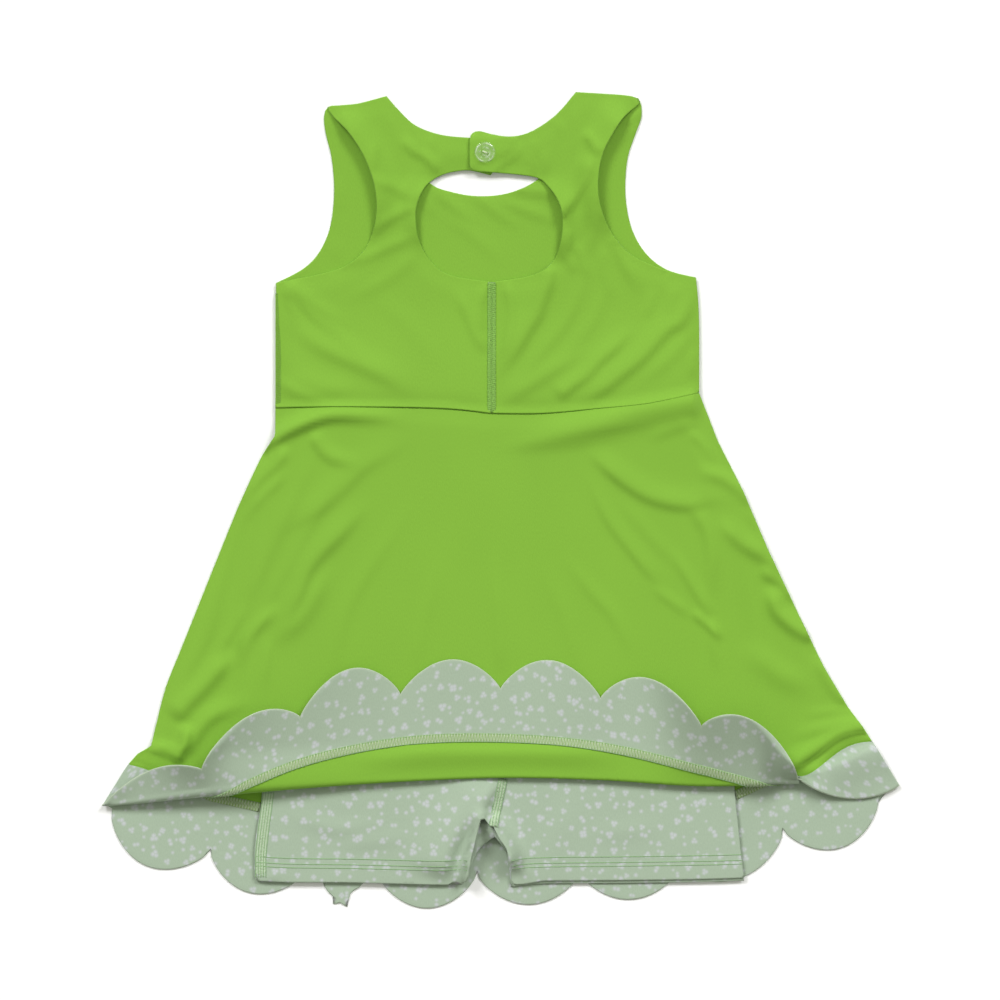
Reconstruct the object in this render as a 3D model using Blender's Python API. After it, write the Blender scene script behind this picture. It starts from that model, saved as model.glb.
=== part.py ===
# A toddler's sleeveless athletic dress with built-in shorts, laid flat with its back up.
# Sizes are in millimetres. X runs to the right, Y towards the shoulders, Z up from the surface.

import math

import bmesh
import bpy
import numpy as np
from mathutils import Vector
from mathutils.geometry import delaunay_2d_cdt

MM = 0.001

# Walls and clearances
KNIT = 1.2  # thickness of a knit panel
GAP = 0.3  # clearance between neighbouring pieces
TAPE = 0.8  # thickness of a tape or an overlock strip
TAPE_GAP = 0.45  # clearance under a tape, which crosses the panel's facets
TAPE_WIDTH = 4.8
OVERLOCK_WIDTH = 6.0

# Driving sizes
HALF_SPAN = 239.0  # half of the hem's span, tip to tip
LOBES = 8  # scallops on each border
SHOULDER_TOP = 244.6  # above the origin

# Heights of the layers over the surface
SHORTS_FRONT_FLOOR = KNIT + GAP
SHORTS_BACK_FLOOR = 2 * (KNIT + GAP)
BACK_FLOOR = KNIT + GAP
BACK_FLOOR_OVER_SHORTS = 5.6
SHORTS_TOP = 49.0
STRAP_OVERLAP_RISE = KNIT + GAP

# Soft steps: where one starts, and where it is complete
BESIDE_SHORTS = (26.0, 8.0)  # past a side of the shorts, as the back rises onto them
ABOVE_SHORTS = (92.0, 60.0)  # up, as the back rises onto them
TAB_ACROSS = (27.0, 15.0)  # across, as the tab rises over the end of the left strap
TAB_UP = (182.0, 190.0)
CALM_TAPE = (6.0, 16.0)  # from the centre-back seam, as folds grow beside its tape
CALM_SIDE = (6.0, 15.0)  # from the left side, as folds grow beside its tape
CALM_ABOVE = 51.0  # below this height the folds need no calm edge

# Armholes: height, then across to the front edge and the back edge on each side
ARMHOLE_ROWS = [
    (230.0, -105.9, -100.5, 74.6, 84.6),
    (220.0, -104.9, -91.0, 67.7, 81.2),
    (206.0, -101.5, -82.0, 60.9, 76.5),
    (190.0, -99.9, -76.0, 58.4, 74.9),
    (175.0, -100.4, -74.2, 60.2, 75.8),
    (160.0, -103.3, -76.8, 66.8, 79.8),
    (147.0, -109.9, -84.2, 78.6, 88.0),
    (138.0, -119.4, -99.0, 98.6, 100.2),
]
UNDERARM_LEFT = (-134.6, 130.2)
UNDERARM_RIGHT = (117.2, 133.4)
BODICE_SIDE_RIGHT = (119.0, 110.0)

# Keyhole in the back: height, then across to its left and right edge
KEYHOLE_ROWS = [
    (189.5, -43.4, 27.0),
    (181.0, -48.6, 33.4),
    (171.0, -50.8, 36.8),
    (156.0, -48.9, 36.3),
    (143.0, -41.4, 31.3),
    (135.0, -30.5, 19.5),
]
KEYHOLE_BOTTOM = 130.7
CENTRE_SEAM = -5.3  # across, of the centre-back seam
SEAM_CLEARANCE = 10.0  # from it to the first point of the waist on each side

# Edges of the neck and the shoulders, across and up
SHOULDER_LEFT = [(-68.4, 242.2), (-75.0, 240.4), (-86.0, 237.6), (-97.0, 236.6), (-103.6, 235.6)]
SHOULDER_RIGHT = [(45.2, SHOULDER_TOP), (62.0, 243.6), (78.5, 242.1), (83.8, 238.6)]
NECK_LEFT = [(-68.4, 242.2), (-60.7, 233.4), (-50.7, 224.4), (-35.7, 219.0), (-18.3, 217.2)]
STRAP_END = [(-4.0, 216.6), (6.0, 216.4), (9.9, 212.6), (8.2, 206.6), (0.0, 201.4)]
BRIDGE_LEFT = [(-6.0, 194.7), (-18.2, 197.5), (-26.3, 197.0), (-35.5, 194.6)]
TAB_TOP = [(-12.7, 221.2), (-5.0, 219.3), (6.0, 217.9), (18.5, 221.0), (33.3, 231.0)]
TAB_CORNER_TOP = [(-18.4, 215.6), (-16.8, 219.9)]
TAB_CORNER_BOTTOM = [(-9.0, 196.5), (-16.6, 197.3), (-18.4, 199.4)]
BRIDGE_RIGHT = [(21.9, 193.1), (9.4, 195.1)]
FRONT_NECK = [
    (-68.4, 242.2),
    (-65.0, 229.0),
    (-57.0, 209.0),
    (-43.1, 190.6),
    (-27.9, 184.4),
    (-10.6, 182.2),
    (6.6, 184.6),
    (21.9, 192.0),
    (35.0, 206.0),
    (43.5, 226.0),
    (45.2, SHOULDER_TOP),
]

# Waist seam, across and up
WAIST = [
    (-135.0, 55.3),
    (-92.9, 55.9),
    (-35.5, 54.9),
    (-5.8, 51.9),
    (25.7, 51.9),
    (60.2, 54.9),
    (88.9, 57.8),
    (119.1, 64.2),
]

# Tapes on the bodice
TAPE_POINTS = 14
SIDE_TAPE_WIDTH = 3.6
SIDE_TAPE_EDGE = -134.9  # across
SIDE_TAPE_SPAN = (57.0, 124.0)  # up
SIDE_TAPE_POINTS = 10
SIDE_TAPE_TAPER = (82.0, 130.0)  # up, as it narrows
SIDE_TAPE_LOSS = 0.7  # share of its width that it loses

# Sides of the skirt: share of the way from the waist to the hem, then across on each side
SKIRT_SIDE_ROWS = [
    (0.0, -135.0, 119.1),
    (0.07, -135.0, 125.5),
    (0.12, -143.0, 130.0),
    (0.25, -157.4, 145.4),
    (0.4, -171.9, 160.4),
    (0.58, -189.1, 180.4),
    (0.7, -200.6, 194.0),
    (0.8, -206.8, 208.0),
    (0.85, -209.5, 216.8),
    (0.868, -217.6, 219.6),
    (0.9, -224.2, 224.6),
    (1.0, -HALF_SPAN, HALF_SPAN),
]
SIDE_FADE = 5  # power by which a side's own curve fades towards the middle
FRONT_SIDE_END_LEFT = 0.892  # share at which the front skirt meets its border
FRONT_SIDE_END_RIGHT = 0.888

# Back border at each point between two scallops, from left to right. The border is folded up, so
# the seam and the edge are given as distances past the fold, and below 0 they lie short of it.
# Columns: height of the fold, radius of its roll, seam, edge, rise of the next scallop, share of
# the roll's height that the border keeps up to its edge, height that the edge gains
FOLD_ROWS = [
    (-183.6, 1.4, -25.2, 0.6, 11.0, 1.0, 2.0),
    (-178.0, 5.0, -3.4, 17.1, 17.0, 0.8, 7.0),
    (-172.8, 3.4, 15.9, 42.6, 22.5, 0.25, 3.0),
    (-168.8, 1.8, 24.2, 51.8, 19.4, 0.0, 0.0),
    (-166.5, 1.3, 24.0, 52.8, 20.0, 0.0, 0.0),
    (-167.8, 1.5, 20.3, 48.6, 20.4, 0.0, 0.4),
    (-171.4, 2.8, 10.7, 36.2, 20.5, 0.6, 9.0),
    (-170.2, 3.0, -4.6, 3.4, 0.0, 1.0, 9.0),
]
SETTLE = 24.0  # distance in which the folded border comes down onto the skirt
SHORTEST_FLAP = 8.0
# Below 1 a scallop is rounder than a sine, and steeper at its ends
BACK_SCALLOP_POWER = 0.75
FRONT_SCALLOP_POWER = 0.62
STRIP_SHARES = (0.145, 0.79)  # across, between which the overlock strip shows

# Columns of the back skirt in each scallop, and rows of points down each piece
COLUMN_WAYS = (0.0, 0.04, 0.15, 0.32, 0.5, 0.68, 0.85, 0.96)
SKIRT_ROWS = 19
BORDER_ROWS = 8
STRIP_ROWS = 3
BEND_MARGIN = 3.0  # rows crowd this far past each end of the bend
BEND_CROWDING = 7.0
BEND_SOFTENING = 0.8
TANGENT_STEP = 0.4

# The last scallop of the back border lies unfolded
LAST_EDGE_START = -166.8
LAST_EDGE_END = -170.8
LAST_EDGE_DROP = 10.0
LAST_SEAM_START = -165.6
LAST_SEAM_END = -144.6
LAST_STAND = 5.0  # how high its edge stands beside the fold
LAST_STAND_WAY = (0.5, 0.0)  # along the scallop, as it rises to that
LAST_SPARE = 1.0  # its bend would start this far past its edge

# Front border at each point between two scallops: across, up, depth of the next scallop
FRONT_CUSP_ROWS = [
    (-233.0, -185.0, 24.0),
    (-173.8, -209.5, 19.5),
    (-118.5, -223.8, 0.0),
    (-108.5, -225.5, 0.0),
    (-80.0, -225.5, 0.0),
    (-74.0, -223.0, 22.0),
    (-14.1, -222.8, 20.0),
    (47.7, -222.6, 18.0),
    (106.5, -220.8, 19.0),
    (169.2, -197.0, 22.5),
    (226.5, -177.5, 0.0),
]
# The scallop after the fourth point is crumpled, and ends in two tips
CRUMPLED_AFTER = -108.5
CRUMPLED_EDGE = [
    (-105.6, -231.6),
    (-103.6, -235.0),
    (-100.6, -237.8),
    (-100.4, -242.3),
    (-96.4, -241.5),
    (-92.0, -244.1),
    (-90.1, -236.2),
    (-85.0, -232.6),
    (-82.4, -230.0),
]
FRONT_SCALLOP_WAYS = (0.0, 0.05, 0.15, 0.28, 0.42, 0.58, 0.72, 0.85, 0.95)
FRONT_CORNER_LEFT = (-237.5, -182.5)
FRONT_CORNER_RIGHT = (236.0, -169.0)
FRONT_STRIPS = {"left": (-173.0, -151.0), "right": (147.0, 159.0)}  # from and to, across
FRONT_STRIP_POINTS = 4
SEAM_STEP = 12.0  # between points of a seam that two panels share
FRONT_SEAM = [
    (-223.4, -158.6),
    (-172.5, -178.2),
    (-144.3, -184.4),
    (-74.0, -193.0),
    (-14.0, -194.0),
    (48.0, -193.5),
    (106.0, -188.5),
    (141.3, -177.0),
    (163.0, -167.0),
    (222.5, -144.8),
]

# Shorts: height, then across to each side edge. They narrow under the waist, where nothing shows.
SHORTS_SIDE_ROWS = [
    (49.0, -112.0, 97.0),
    (0.0, -128.0, 118.0),
    (-60.0, -136.0, 128.0),
    (-120.0, -140.6, 137.0),
    (-174.0, -142.8, 140.4),
    (-196.0, -145.8, 142.6),
    (-212.0, -147.5, 144.2),
    (-226.4, -147.6, 146.0),
]
SHORTS_SEAM_TOP = (1.5, -167.0)
SHORTS_SEAM_END = (-4.4, -195.0)
LEFT_LEG_HEM = [(-145.9, -228.2), (-125.5, -229.1), (-89.4, -229.3), (-31.3, -230.6), (-20.5, -227.8)]
LEFT_LEG_INNER = [(-18.6, -220.3), (-16.2, -209.6), (-12.9, -196.4), (-11.3, -190.0), (-8.2, -193.6)]
RIGHT_LEG_INNER = [(-0.4, -203.4), (3.4, -208.4), (4.6, -215.0), (6.4, -221.6), (7.9, -230.2)]
RIGHT_LEG_HEM = [(25.9, -228.2), (74.1, -227.9), (122.3, -227.2), (146.0, -226.4)]
FRONT_LEG_DROPS = (0.2, 1.8)  # the front layer's hem hangs this much lower on each leg
FRONT_LEG_CORNER = (146.0, -228.2)
GUSSET_LEFT = [(-21.5, -229.0), (-14.0, -211.0)]
GUSSET_RIGHT = [(-3.4, -201.6), (3.0, -211.0)]
GUSSET_FOOT_RIGHT = (6.5, -232.0)
SHORTS_SEAM_WIDTH = 5.4
SHORTS_SEAM_POINTS = 6

# Heights past which a layer shows, and takes more points
FRONT_BODICE_SHOWS = 120.0
FRONT_BORDER_SHOWS = -180.0
SHORTS_SHOW = -160.0

# Largest folds of the back: from, to, half width, height
RIDGES = [
    ((-142.0, 26.0), (-118.0, 44.0), 7.0, 2.4),
    ((-118.0, 44.0), (-60.0, 46.0), 7.0, 1.8),
    ((52.0, 24.0), (80.0, 2.0), 9.0, 2.2),
    ((80.0, 2.0), (112.0, -8.0), 9.0, 1.8),
    ((12.0, 33.0), (62.0, 35.0), 7.0, 1.5),
    ((62.0, 35.0), (118.0, 52.0), 7.0, 2.2),
    ((-72.0, -10.0), (-124.0, -70.0), 12.0, 1.8),
    ((-202.0, -112.0), (-190.0, -138.0), 8.0, 2.6),
    ((-212.0, -150.0), (-176.0, -148.0), 7.0, 2.2),
    ((176.0, -112.0), (214.0, -132.0), 8.0, 2.4),
    ((172.0, -140.0), (218.0, -139.0), 7.0, 2.0),
    ((-131.0, 122.0), (-108.0, 88.0), 8.0, 2.4),
    ((92.0, 118.0), (34.0, 62.0), 11.0, 1.8),
    ((38.0, 176.0), (60.0, 186.0), 6.0, 1.4),
    ((-92.0, 212.0), (-62.0, 222.0), 7.0, 1.2),
    # where the edges of the armholes and the keyhole stand off the front
    ((-90.0, 219.0), (-80.0, 202.0), 8.0, 3.4),
    ((-80.0, 202.0), (-75.0, 172.0), 8.0, 4.2),
    ((-75.0, 172.0), (-80.0, 154.0), 8.0, 2.4),
    ((67.0, 219.0), (59.0, 196.0), 8.0, 4.0),
    ((59.0, 196.0), (60.0, 172.0), 8.0, 4.6),
    ((60.0, 172.0), (70.0, 156.0), 8.0, 2.4),
    ((-48.0, 182.0), (-50.0, 160.0), 6.5, 2.8),
    ((34.0, 182.0), (36.0, 160.0), 6.5, 3.0),
]
# Folds of the legs, in the same columns
LEG_RIDGES = [
    ((-19.5, -227.0), (-13.0, -197.0), 4.2, 3.8),
    ((0.0, -205.0), (7.0, -226.0), 4.2, 2.8),
    ((40.0, -186.0), (30.0, -224.0), 9.0, 1.2),
    ((-92.0, -188.0), (-80.0, -224.0), 9.0, 1.2),
]

# Button
BUTTON_CENTRE = (-9.3, 208.3)
BUTTON_RADIUS = 6.35
BUTTON_THICKNESS = 2.2
BUTTON_SIDES = 28
BUTTON_HOLE_RADIUS = 0.9
BUTTON_HOLE_OFFSET = 1.5
BUTTON_HOLE_SIDES = 12
BUTTON_TURN = -25.0  # degrees, of the line through its holes
# Its profile: out from the axis, up from the underside
BUTTON_PROFILE = [
    (0.0, 0.0),
    (5.35, 0.0),
    (BUTTON_RADIUS, 1.0),
    (5.95, 1.9),
    (5.15, BUTTON_THICKNESS),
    (4.2, 2.1),
    (3.2, 1.4),
    (0.0, 1.4),
]

# Finishes: colour, roughness
GREEN = ((0.247, 0.503, 0.053), 0.78)
PRINT = ((0.434, 0.527, 0.371), 0.78)
STRIP = ((0.305, 0.463, 0.165), 0.85)
SEAM_TAPE = ((0.290, 0.410, 0.200), 0.85)
CLEAR = ((0.620, 0.700, 0.520), 0.18)


def clear_scene():
    for old in list(bpy.data.objects):
        bpy.data.objects.remove(old, do_unlink=True)


def finish(name, look):
    """A material of its own for the piece."""
    colour, roughness = look
    made = bpy.data.materials.new(name)
    made.use_nodes = True
    shader = made.node_tree.nodes["Principled BSDF"]
    shader.inputs["Base Color"].default_value = (*colour, 1.0)
    shader.inputs["Roughness"].default_value = roughness
    return made


def add_piece(name, mesh_data, look):
    """Puts a closed bmesh, in millimetres, into the scene as a named object."""
    bmesh.ops.scale(mesh_data, vec=(MM, MM, MM), verts=mesh_data.verts)
    bmesh.ops.recalc_face_normals(mesh_data, faces=mesh_data.faces)
    mesh = bpy.data.meshes.new(name)
    mesh_data.to_mesh(mesh)
    mesh_data.free()
    mesh.materials.append(finish(name, look))
    piece = bpy.data.objects.new(name, mesh)
    bpy.context.scene.collection.objects.link(piece)
    mesh.shade_smooth()
    mesh.set_sharp_from_angle(angle=math.radians(40))
    return piece


def ease(value):
    """A soft step from 0 to 1."""
    held = min(max(value, 0.0), 1.0)
    return held * held * (3 - 2 * held)


def soft_step(value, start, whole):
    """Rises softly from 0 at one value to 1 at another, which may be the lower one."""
    return ease((value - start) / (whole - start))


def smooth_run(points, step=7.0):
    """Points along a Catmull-Rom curve through the given ones, the last one left out."""
    ends = [points[0], *points, points[-1]]
    run = []
    for before, start, end, after in zip(ends, ends[1:], ends[2:], ends[3:]):
        count = max(1, round(math.dist(start, end) / step))
        for index in range(count):
            run.append(catmull_rom(before, start, end, after, index / count))
    return run


def catmull_rom(before, start, end, after, way):
    values = []
    for a, b, c, d in zip(before, start, end, after):
        bend = 2 * a - 5 * b + 4 * c - d
        turn = 3 * b - a - 3 * c + d
        values.append(b + 0.5 * way * (c - a + way * (bend + way * turn)))
    return tuple(values)


def closed_outline(*runs, step=7.0):
    """One loop from runs of points, with a corner where two runs meet."""
    corners = [run[0] for run in runs[1:]] + [runs[0][0]]
    loop = []
    for run, corner in zip(runs, corners):
        loop += smooth_run([*run, corner], step)
    return loop


def row_value(rows, where, column):
    """A column of a table at a place between its rows, whose first column rises or falls."""
    ordered = sorted(rows)
    return float(np.interp(where, [row[0] for row in ordered], [row[column] for row in ordered]))


def ridge_height(x, y, ridges):
    """Height that the folds add, the tallest one counting."""
    tallest = 0.0
    for start, end, half_width, height in ridges:
        along = np.subtract(end, start)
        way = np.dot(np.subtract((x, y), start), along) / np.dot(along, along)
        nearest = np.add(start, along * min(max(way, 0.0), 1.0))
        distance = math.dist((x, y), nearest)
        tallest = max(tallest, height * math.exp(-((distance / half_width) ** 2)))
    return tallest


def over_shorts(x, y):
    """1 where the back lies on the shorts, 0 well clear of them."""
    left = row_value(SHORTS_SIDE_ROWS, y, 1)
    right = row_value(SHORTS_SIDE_ROWS, y, 2)
    outside = max(left - x, x - right)
    return soft_step(outside, *BESIDE_SHORTS) * soft_step(y, *ABOVE_SHORTS)


def back_floor(x, y):
    """Underside of the back layer."""
    rise = (BACK_FLOOR_OVER_SHORTS - BACK_FLOOR) * over_shorts(x, y)
    return BACK_FLOOR + rise + ridge_height(x, y, RIDGES) * edge_calm(x, y)


def edge_calm(x, y):
    """0 at the tape and beside the seams of the sides, so that what lies there stays seated."""
    if y < CALM_ABOVE:
        return 1.0
    beside_tape = soft_step(abs(x - CENTRE_SEAM), *CALM_TAPE)
    beside_side = soft_step(x - UNDERARM_LEFT[0], *CALM_SIDE)
    return beside_tape * beside_side


def tab_floor(x, y):
    """Underside of the right half, which rises over the end of the left strap."""
    over_strap = soft_step(x, *TAB_ACROSS) * soft_step(y, *TAB_UP)
    return back_floor(x, y) + STRAP_OVERLAP_RISE * over_strap


def flat_floor(height):
    """An underside at one height."""
    return lambda x, y: height


def leg_floor(x, y):
    """Underside of the back of the shorts."""
    return SHORTS_BACK_FLOOR + ridge_height(x, y, LEG_RIDGES)


def inside(x, y, loop):
    """Whether a point lies inside a closed loop."""
    crossings = 0
    for (x0, y0), (x1, y1) in zip(loop, loop[1:] + loop[:1]):
        if (y0 > y) != (y1 > y) and x < x0 + (y - y0) * (x1 - x0) / (y1 - y0):
            crossings += 1
    return crossings % 2 == 1


def filling_points(loop, spacing, shows):
    """A staggered grid inside the loop, one point in nine of it where nothing shows."""
    xs = [point[0] for point in loop]
    ys = [point[1] for point in loop]
    row_step = spacing * math.sqrt(0.75)
    points = []
    for row in range(math.ceil((max(ys) - min(ys)) / row_step)):
        y = min(ys) + row * row_step
        shift = spacing / 2 * (row % 2)
        for column in range(math.ceil((max(xs) - min(xs)) / spacing)):
            x = min(xs) + shift + column * spacing
            if not shows(x, y) and (row % 3 or column % 3):
                continue
            if inside(x, y, loop) and min(math.dist((x, y), edge) for edge in loop) > 0.62 * spacing:
                points.append((x, y))
    return points


def add_slab(name, loop, floor_of, look, spacing=9.0, shows=lambda x, y: True, wall=KNIT):
    """A panel of even thickness over its floor, filled with triangles inside its outline."""
    points = [Vector(point) for point in loop + filling_points(loop, spacing, shows)]
    count = len(loop)
    edges = [(index, (index + 1) % count) for index in range(count)]
    flat, _, faces, *_ = delaunay_2d_cdt(points, edges, [], 1, 1e-5)
    solid = bmesh.new()
    lower = [solid.verts.new((x, y, floor_of(x, y))) for x, y in flat]
    upper = [solid.verts.new((x, y, floor_of(x, y) + wall)) for x, y in flat]
    for face in faces:
        solid.faces.new([upper[index] for index in face])
        solid.faces.new([lower[index] for index in reversed(face)])
    sides = {(face[i], face[(i + 1) % 3]) for face in faces for i in range(3)}
    for start, end in sides:
        if (end, start) not in sides:
            solid.faces.new((lower[start], lower[end], upper[end], upper[start]))
    return add_piece(name, solid, look)


def add_sheet(name, upper_grid, lower_grid, look):
    """A closed wall between two grids of points with the same rows and columns."""
    solid = bmesh.new()
    upper = [[solid.verts.new(point) for point in row] for row in upper_grid]
    lower = [[solid.verts.new(point) for point in row] for row in lower_grid]
    for grid in (upper, lower):
        add_web(solid, grid)
    # Each wall is split the same way, so that two sheets fit where they meet at a seam.
    for row in (0, -1):
        add_web(solid, [upper[row], lower[row]])
    for column in (0, -1):
        add_web(solid, [[row[column] for row in grid] for grid in (upper, lower)])
    return add_piece(name, solid, look)


def add_web(solid, grid):
    """Triangles over a grid of points."""
    for near, far in zip(grid, grid[1:]):
        for a, b, c, d in zip(near, near[1:], far[1:], far):
            solid.faces.new((a, b, c))
            solid.faces.new((a, c, d))


def waist_height(x):
    return row_value(WAIST, x, 1)


class FoldColumn:
    """One line of the back skirt, from the waist down to its fold, round it and back up.

    Its share runs from 0 at the left side to 1 at the right.
    """

    def __init__(self, share):
        self.share = share
        left, right = SKIRT_SIDE_ROWS[0][1:]
        self.waist = waist_height(left + (right - left) * share) - GAP
        place = share * LOBES
        lobe = min(int(place + 1e-9), LOBES - 1)
        way = place - lobe
        if lobe == LOBES - 1 and way > 1e-6:
            self.lie_unfolded(way)
        else:
            self.lie_folded(place, lobe, way)

    def lie_folded(self, place, lobe, way):
        columns = [smooth_column(FOLD_ROWS, place, column) for column in (0, 1, 2, 5, 6)]
        self.fold, self.radius, seam_past, self.keep, self.lift = columns
        self.bend_start = self.waist - (self.fold + self.radius + KNIT / 2)
        self.bend_length = math.pi * self.radius
        start = FOLD_ROWS[lobe][3]
        end = FOLD_ROWS[min(lobe + 1, LOBES - 1)][3]
        rise = FOLD_ROWS[lobe][4] * scallop(way, BACK_SCALLOP_POWER)
        self.seam = self.length_to(seam_past)
        self.edge = self.length_to(start + (end - start) * way + rise)
        self.flap = max(self.edge - self.bend_start - self.bend_length, SHORTEST_FLAP)
        self.stand = 0.0

    def lie_unfolded(self, way):
        self.fold = LAST_EDGE_START + (LAST_EDGE_END - LAST_EDGE_START) * way
        self.fold -= LAST_EDGE_DROP * scallop(way, BACK_SCALLOP_POWER)
        seam = LAST_SEAM_START + (LAST_SEAM_END - LAST_SEAM_START) * ease(way)
        self.radius = FOLD_ROWS[-1][1]
        self.seam = self.waist - seam
        self.edge = self.waist - self.fold
        self.bend_start = self.edge + LAST_SPARE
        self.bend_length = 0.0
        self.stand = LAST_STAND * soft_step(way, *LAST_STAND_WAY)

    def length_to(self, past):
        """Length along the cloth to a place that lies so far past the fold, as seen from above."""
        reach = self.radius + KNIT / 2
        if past > reach:
            return self.bend_start + self.bend_length + past - reach
        if past < -reach:
            return self.bend_start + past + reach
        return self.bend_start + self.bend_length / 2 * (1 + past / reach)

    def across(self, y):
        """Across, at a height, with the side's own curve fading towards the middle."""
        down = (self.waist - y) / (self.waist - self.fold)
        top, bottom = SKIRT_SIDE_ROWS[0], SKIRT_SIDE_ROWS[-1]
        sides = []
        for column in (1, 2):
            straight = top[column] + (bottom[column] - top[column]) * min(down, 1.0)
            sides.append((straight, row_value(SKIRT_SIDE_ROWS, down, column) - straight))
        (left, left_bulge), (right, right_bulge) = sides
        between = left + (right - left) * self.share
        left_bulge *= (1 - self.share) ** SIDE_FADE
        right_bulge *= self.share**SIDE_FADE
        return between + left_bulge + right_bulge

    def middle(self, length):
        """The middle of the wall at a length along the cloth."""
        past_bend = length - self.bend_start
        if past_bend <= 0:
            y = self.waist - length
            x = self.across(y)
            return x, y, back_floor(x, y) + KNIT / 2 + self.standing(length)
        bend_y = self.waist - self.bend_start
        turn = min(past_bend / self.radius, math.pi)
        beyond = max(past_bend - self.bend_length, 0.0)
        y = bend_y - self.radius * math.sin(turn) + beyond
        if beyond == 0:
            x = self.across(min(bend_y, y))
            start = back_floor(self.across(bend_y), bend_y) + KNIT / 2
            return x, y, start + self.radius * (1 - math.cos(turn)) + self.standing(length)
        close = KNIT + 2 * GAP
        kept = 1 - (1 - self.keep) * ease(beyond / SETTLE)
        loft = (2 * self.radius - close) * kept + self.lift * ease(beyond / self.flap)
        x = self.across(self.fold)
        return x, y, back_floor(x, max(y, bend_y)) + KNIT / 2 + close + loft

    def standing(self, length):
        if not self.stand:
            return 0.0
        return self.stand * soft_step(length, self.seam, self.edge)

    def point(self, length, offset):
        """A point off the middle of the wall, out of the side that faces outwards when worn."""
        x, y, z = self.middle(length)
        _, y0, z0 = self.middle(max(length - TANGENT_STEP, 0.0))
        _, y1, z1 = self.middle(length + TANGENT_STEP)
        size = math.hypot(y1 - y0, z1 - z0)
        return x, y + offset * (z1 - z0) / size, z - offset * (y1 - y0) / size

    def lengths(self, start, end, count):
        """Lengths from start to end, closer together round the bend."""
        fine = np.linspace(start, end, 240)
        bend_end = self.bend_start + self.bend_length
        near = (fine > self.bend_start - BEND_MARGIN) & (fine < bend_end + BEND_MARGIN)
        weight = np.where(near, 1 + BEND_CROWDING / (self.radius + BEND_SOFTENING), 1.0)
        total = np.concatenate([[0.0], np.cumsum((weight[1:] + weight[:-1]) / 2)])
        return np.interp(np.linspace(0, total[-1], count), total, fine)


def scallop(way, power):
    """A scallop's height between its ends, as a share of its rise."""
    return math.sin(math.pi * way) ** power if 0 < way < 1 else 0.0


def smooth_column(rows, place, column):
    """A table's column between rows, on a smooth curve. Rows are one unit apart."""
    last = len(rows) - 1
    index = min(int(place), last - 1)
    around = [rows[min(max(index + shift, 0), last)][column] for shift in (-1, 0, 1, 2)]
    return catmull_rom(*[(value,) for value in around], place - index)[0]


def fold_columns(shares):
    return [FoldColumn(share) for share in shares]


def column_shares():
    """Shares with more columns beside each point between scallops."""
    return [(lobe + way) / LOBES for lobe in range(LOBES) for way in COLUMN_WAYS] + [1.0]


def grid_on_back(columns, span_of, rows, offset):
    """Rows of points over the columns, at an offset out of the cloth."""
    lengths = [column.lengths(*span_of(column), rows) for column in columns]
    return [
        [column.point(own[row], offset) for column, own in zip(columns, lengths)]
        for row in range(rows)
    ]


def skirt_span(column):
    return 0.0, column.seam - GAP / 2


def border_span(column):
    return column.seam + GAP / 2, column.edge


def strip_span(column):
    return column.seam - OVERLOCK_WIDTH / 2, column.seam + OVERLOCK_WIDTH / 2


def make_back_skirt():
    columns = fold_columns(column_shares())
    grids = [grid_on_back(columns, skirt_span, SKIRT_ROWS, side * KNIT / 2) for side in (1, -1)]
    add_sheet("back_skirt", *grids, GREEN)


def make_back_border():
    columns = fold_columns(column_shares())
    grids = [grid_on_back(columns, border_span, BORDER_ROWS, side * KNIT / 2) for side in (1, -1)]
    add_sheet("back_border", *grids, PRINT)


def make_back_seam_strip():
    """The overlock strip on the folded-up inside, from where it comes round the fold."""
    start, end = STRIP_SHARES
    columns = fold_columns([share for share in column_shares() if start < share < end])
    near = -(KNIT / 2 + TAPE_GAP)
    grids = [grid_on_back(columns, strip_span, STRIP_ROWS, offset) for offset in (near, near - TAPE)]
    add_sheet("back_seam_strip", *grids, STRIP)


def side_line(column, start, end):
    """The skirt's side between two shares of the way down, from the same table as the back."""
    top = waist_height(SKIRT_SIDE_ROWS[0][column]) - GAP
    bottom = FOLD_ROWS[0][0] if column == 1 else LAST_EDGE_END
    shares = [start, *[row[0] for row in SKIRT_SIDE_ROWS if start < row[0] < end], end]
    return [
        (row_value(SKIRT_SIDE_ROWS, share, column), top + (bottom - top) * share)
        for share in shares
    ]


def lowered(points, drop):
    return [(x, y - drop) for x, y in points]


def make_front_skirt():
    waist = smooth_run(lowered(WAIST, GAP), step=14.0)
    right = smooth_run(side_line(2, 0.0, FRONT_SIDE_END_RIGHT), step=14.0)
    left = smooth_run(side_line(1, 0.0, FRONT_SIDE_END_LEFT)[::-1], step=14.0)
    seam = smooth_run(FRONT_SEAM[::-1], SEAM_STEP)
    add_slab("front_skirt", waist + right + seam + left, flat_floor(0.0), GREEN, spacing=34.0)


def front_scallops():
    """The front border's edge, right to left."""
    edge = []
    for start, end in zip(FRONT_CUSP_ROWS, FRONT_CUSP_ROWS[1:]):
        chord = Vector((end[0] - start[0], end[1] - start[1]))
        out = Vector((chord.y, -chord.x)).normalized()
        if start[0] == CRUMPLED_AFTER:
            edge += [start[:2], *CRUMPLED_EDGE]
            continue
        for way in FRONT_SCALLOP_WAYS:
            rise = start[2] * scallop(way, FRONT_SCALLOP_POWER)
            place = Vector(start[:2]) + chord * way + out * rise
            edge.append((place.x, place.y))
    return edge[::-1]


def make_front_border():
    seam = lowered(FRONT_SEAM, GAP)
    right_side = [seam[-1], FRONT_CORNER_RIGHT]
    loop = smooth_run(seam, SEAM_STEP) + right_side + front_scallops() + [FRONT_CORNER_LEFT]
    low = lambda x, y: y < FRONT_BORDER_SHOWS
    add_slab("front_border", loop, flat_floor(0.0), PRINT, spacing=16.0, shows=low)


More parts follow.
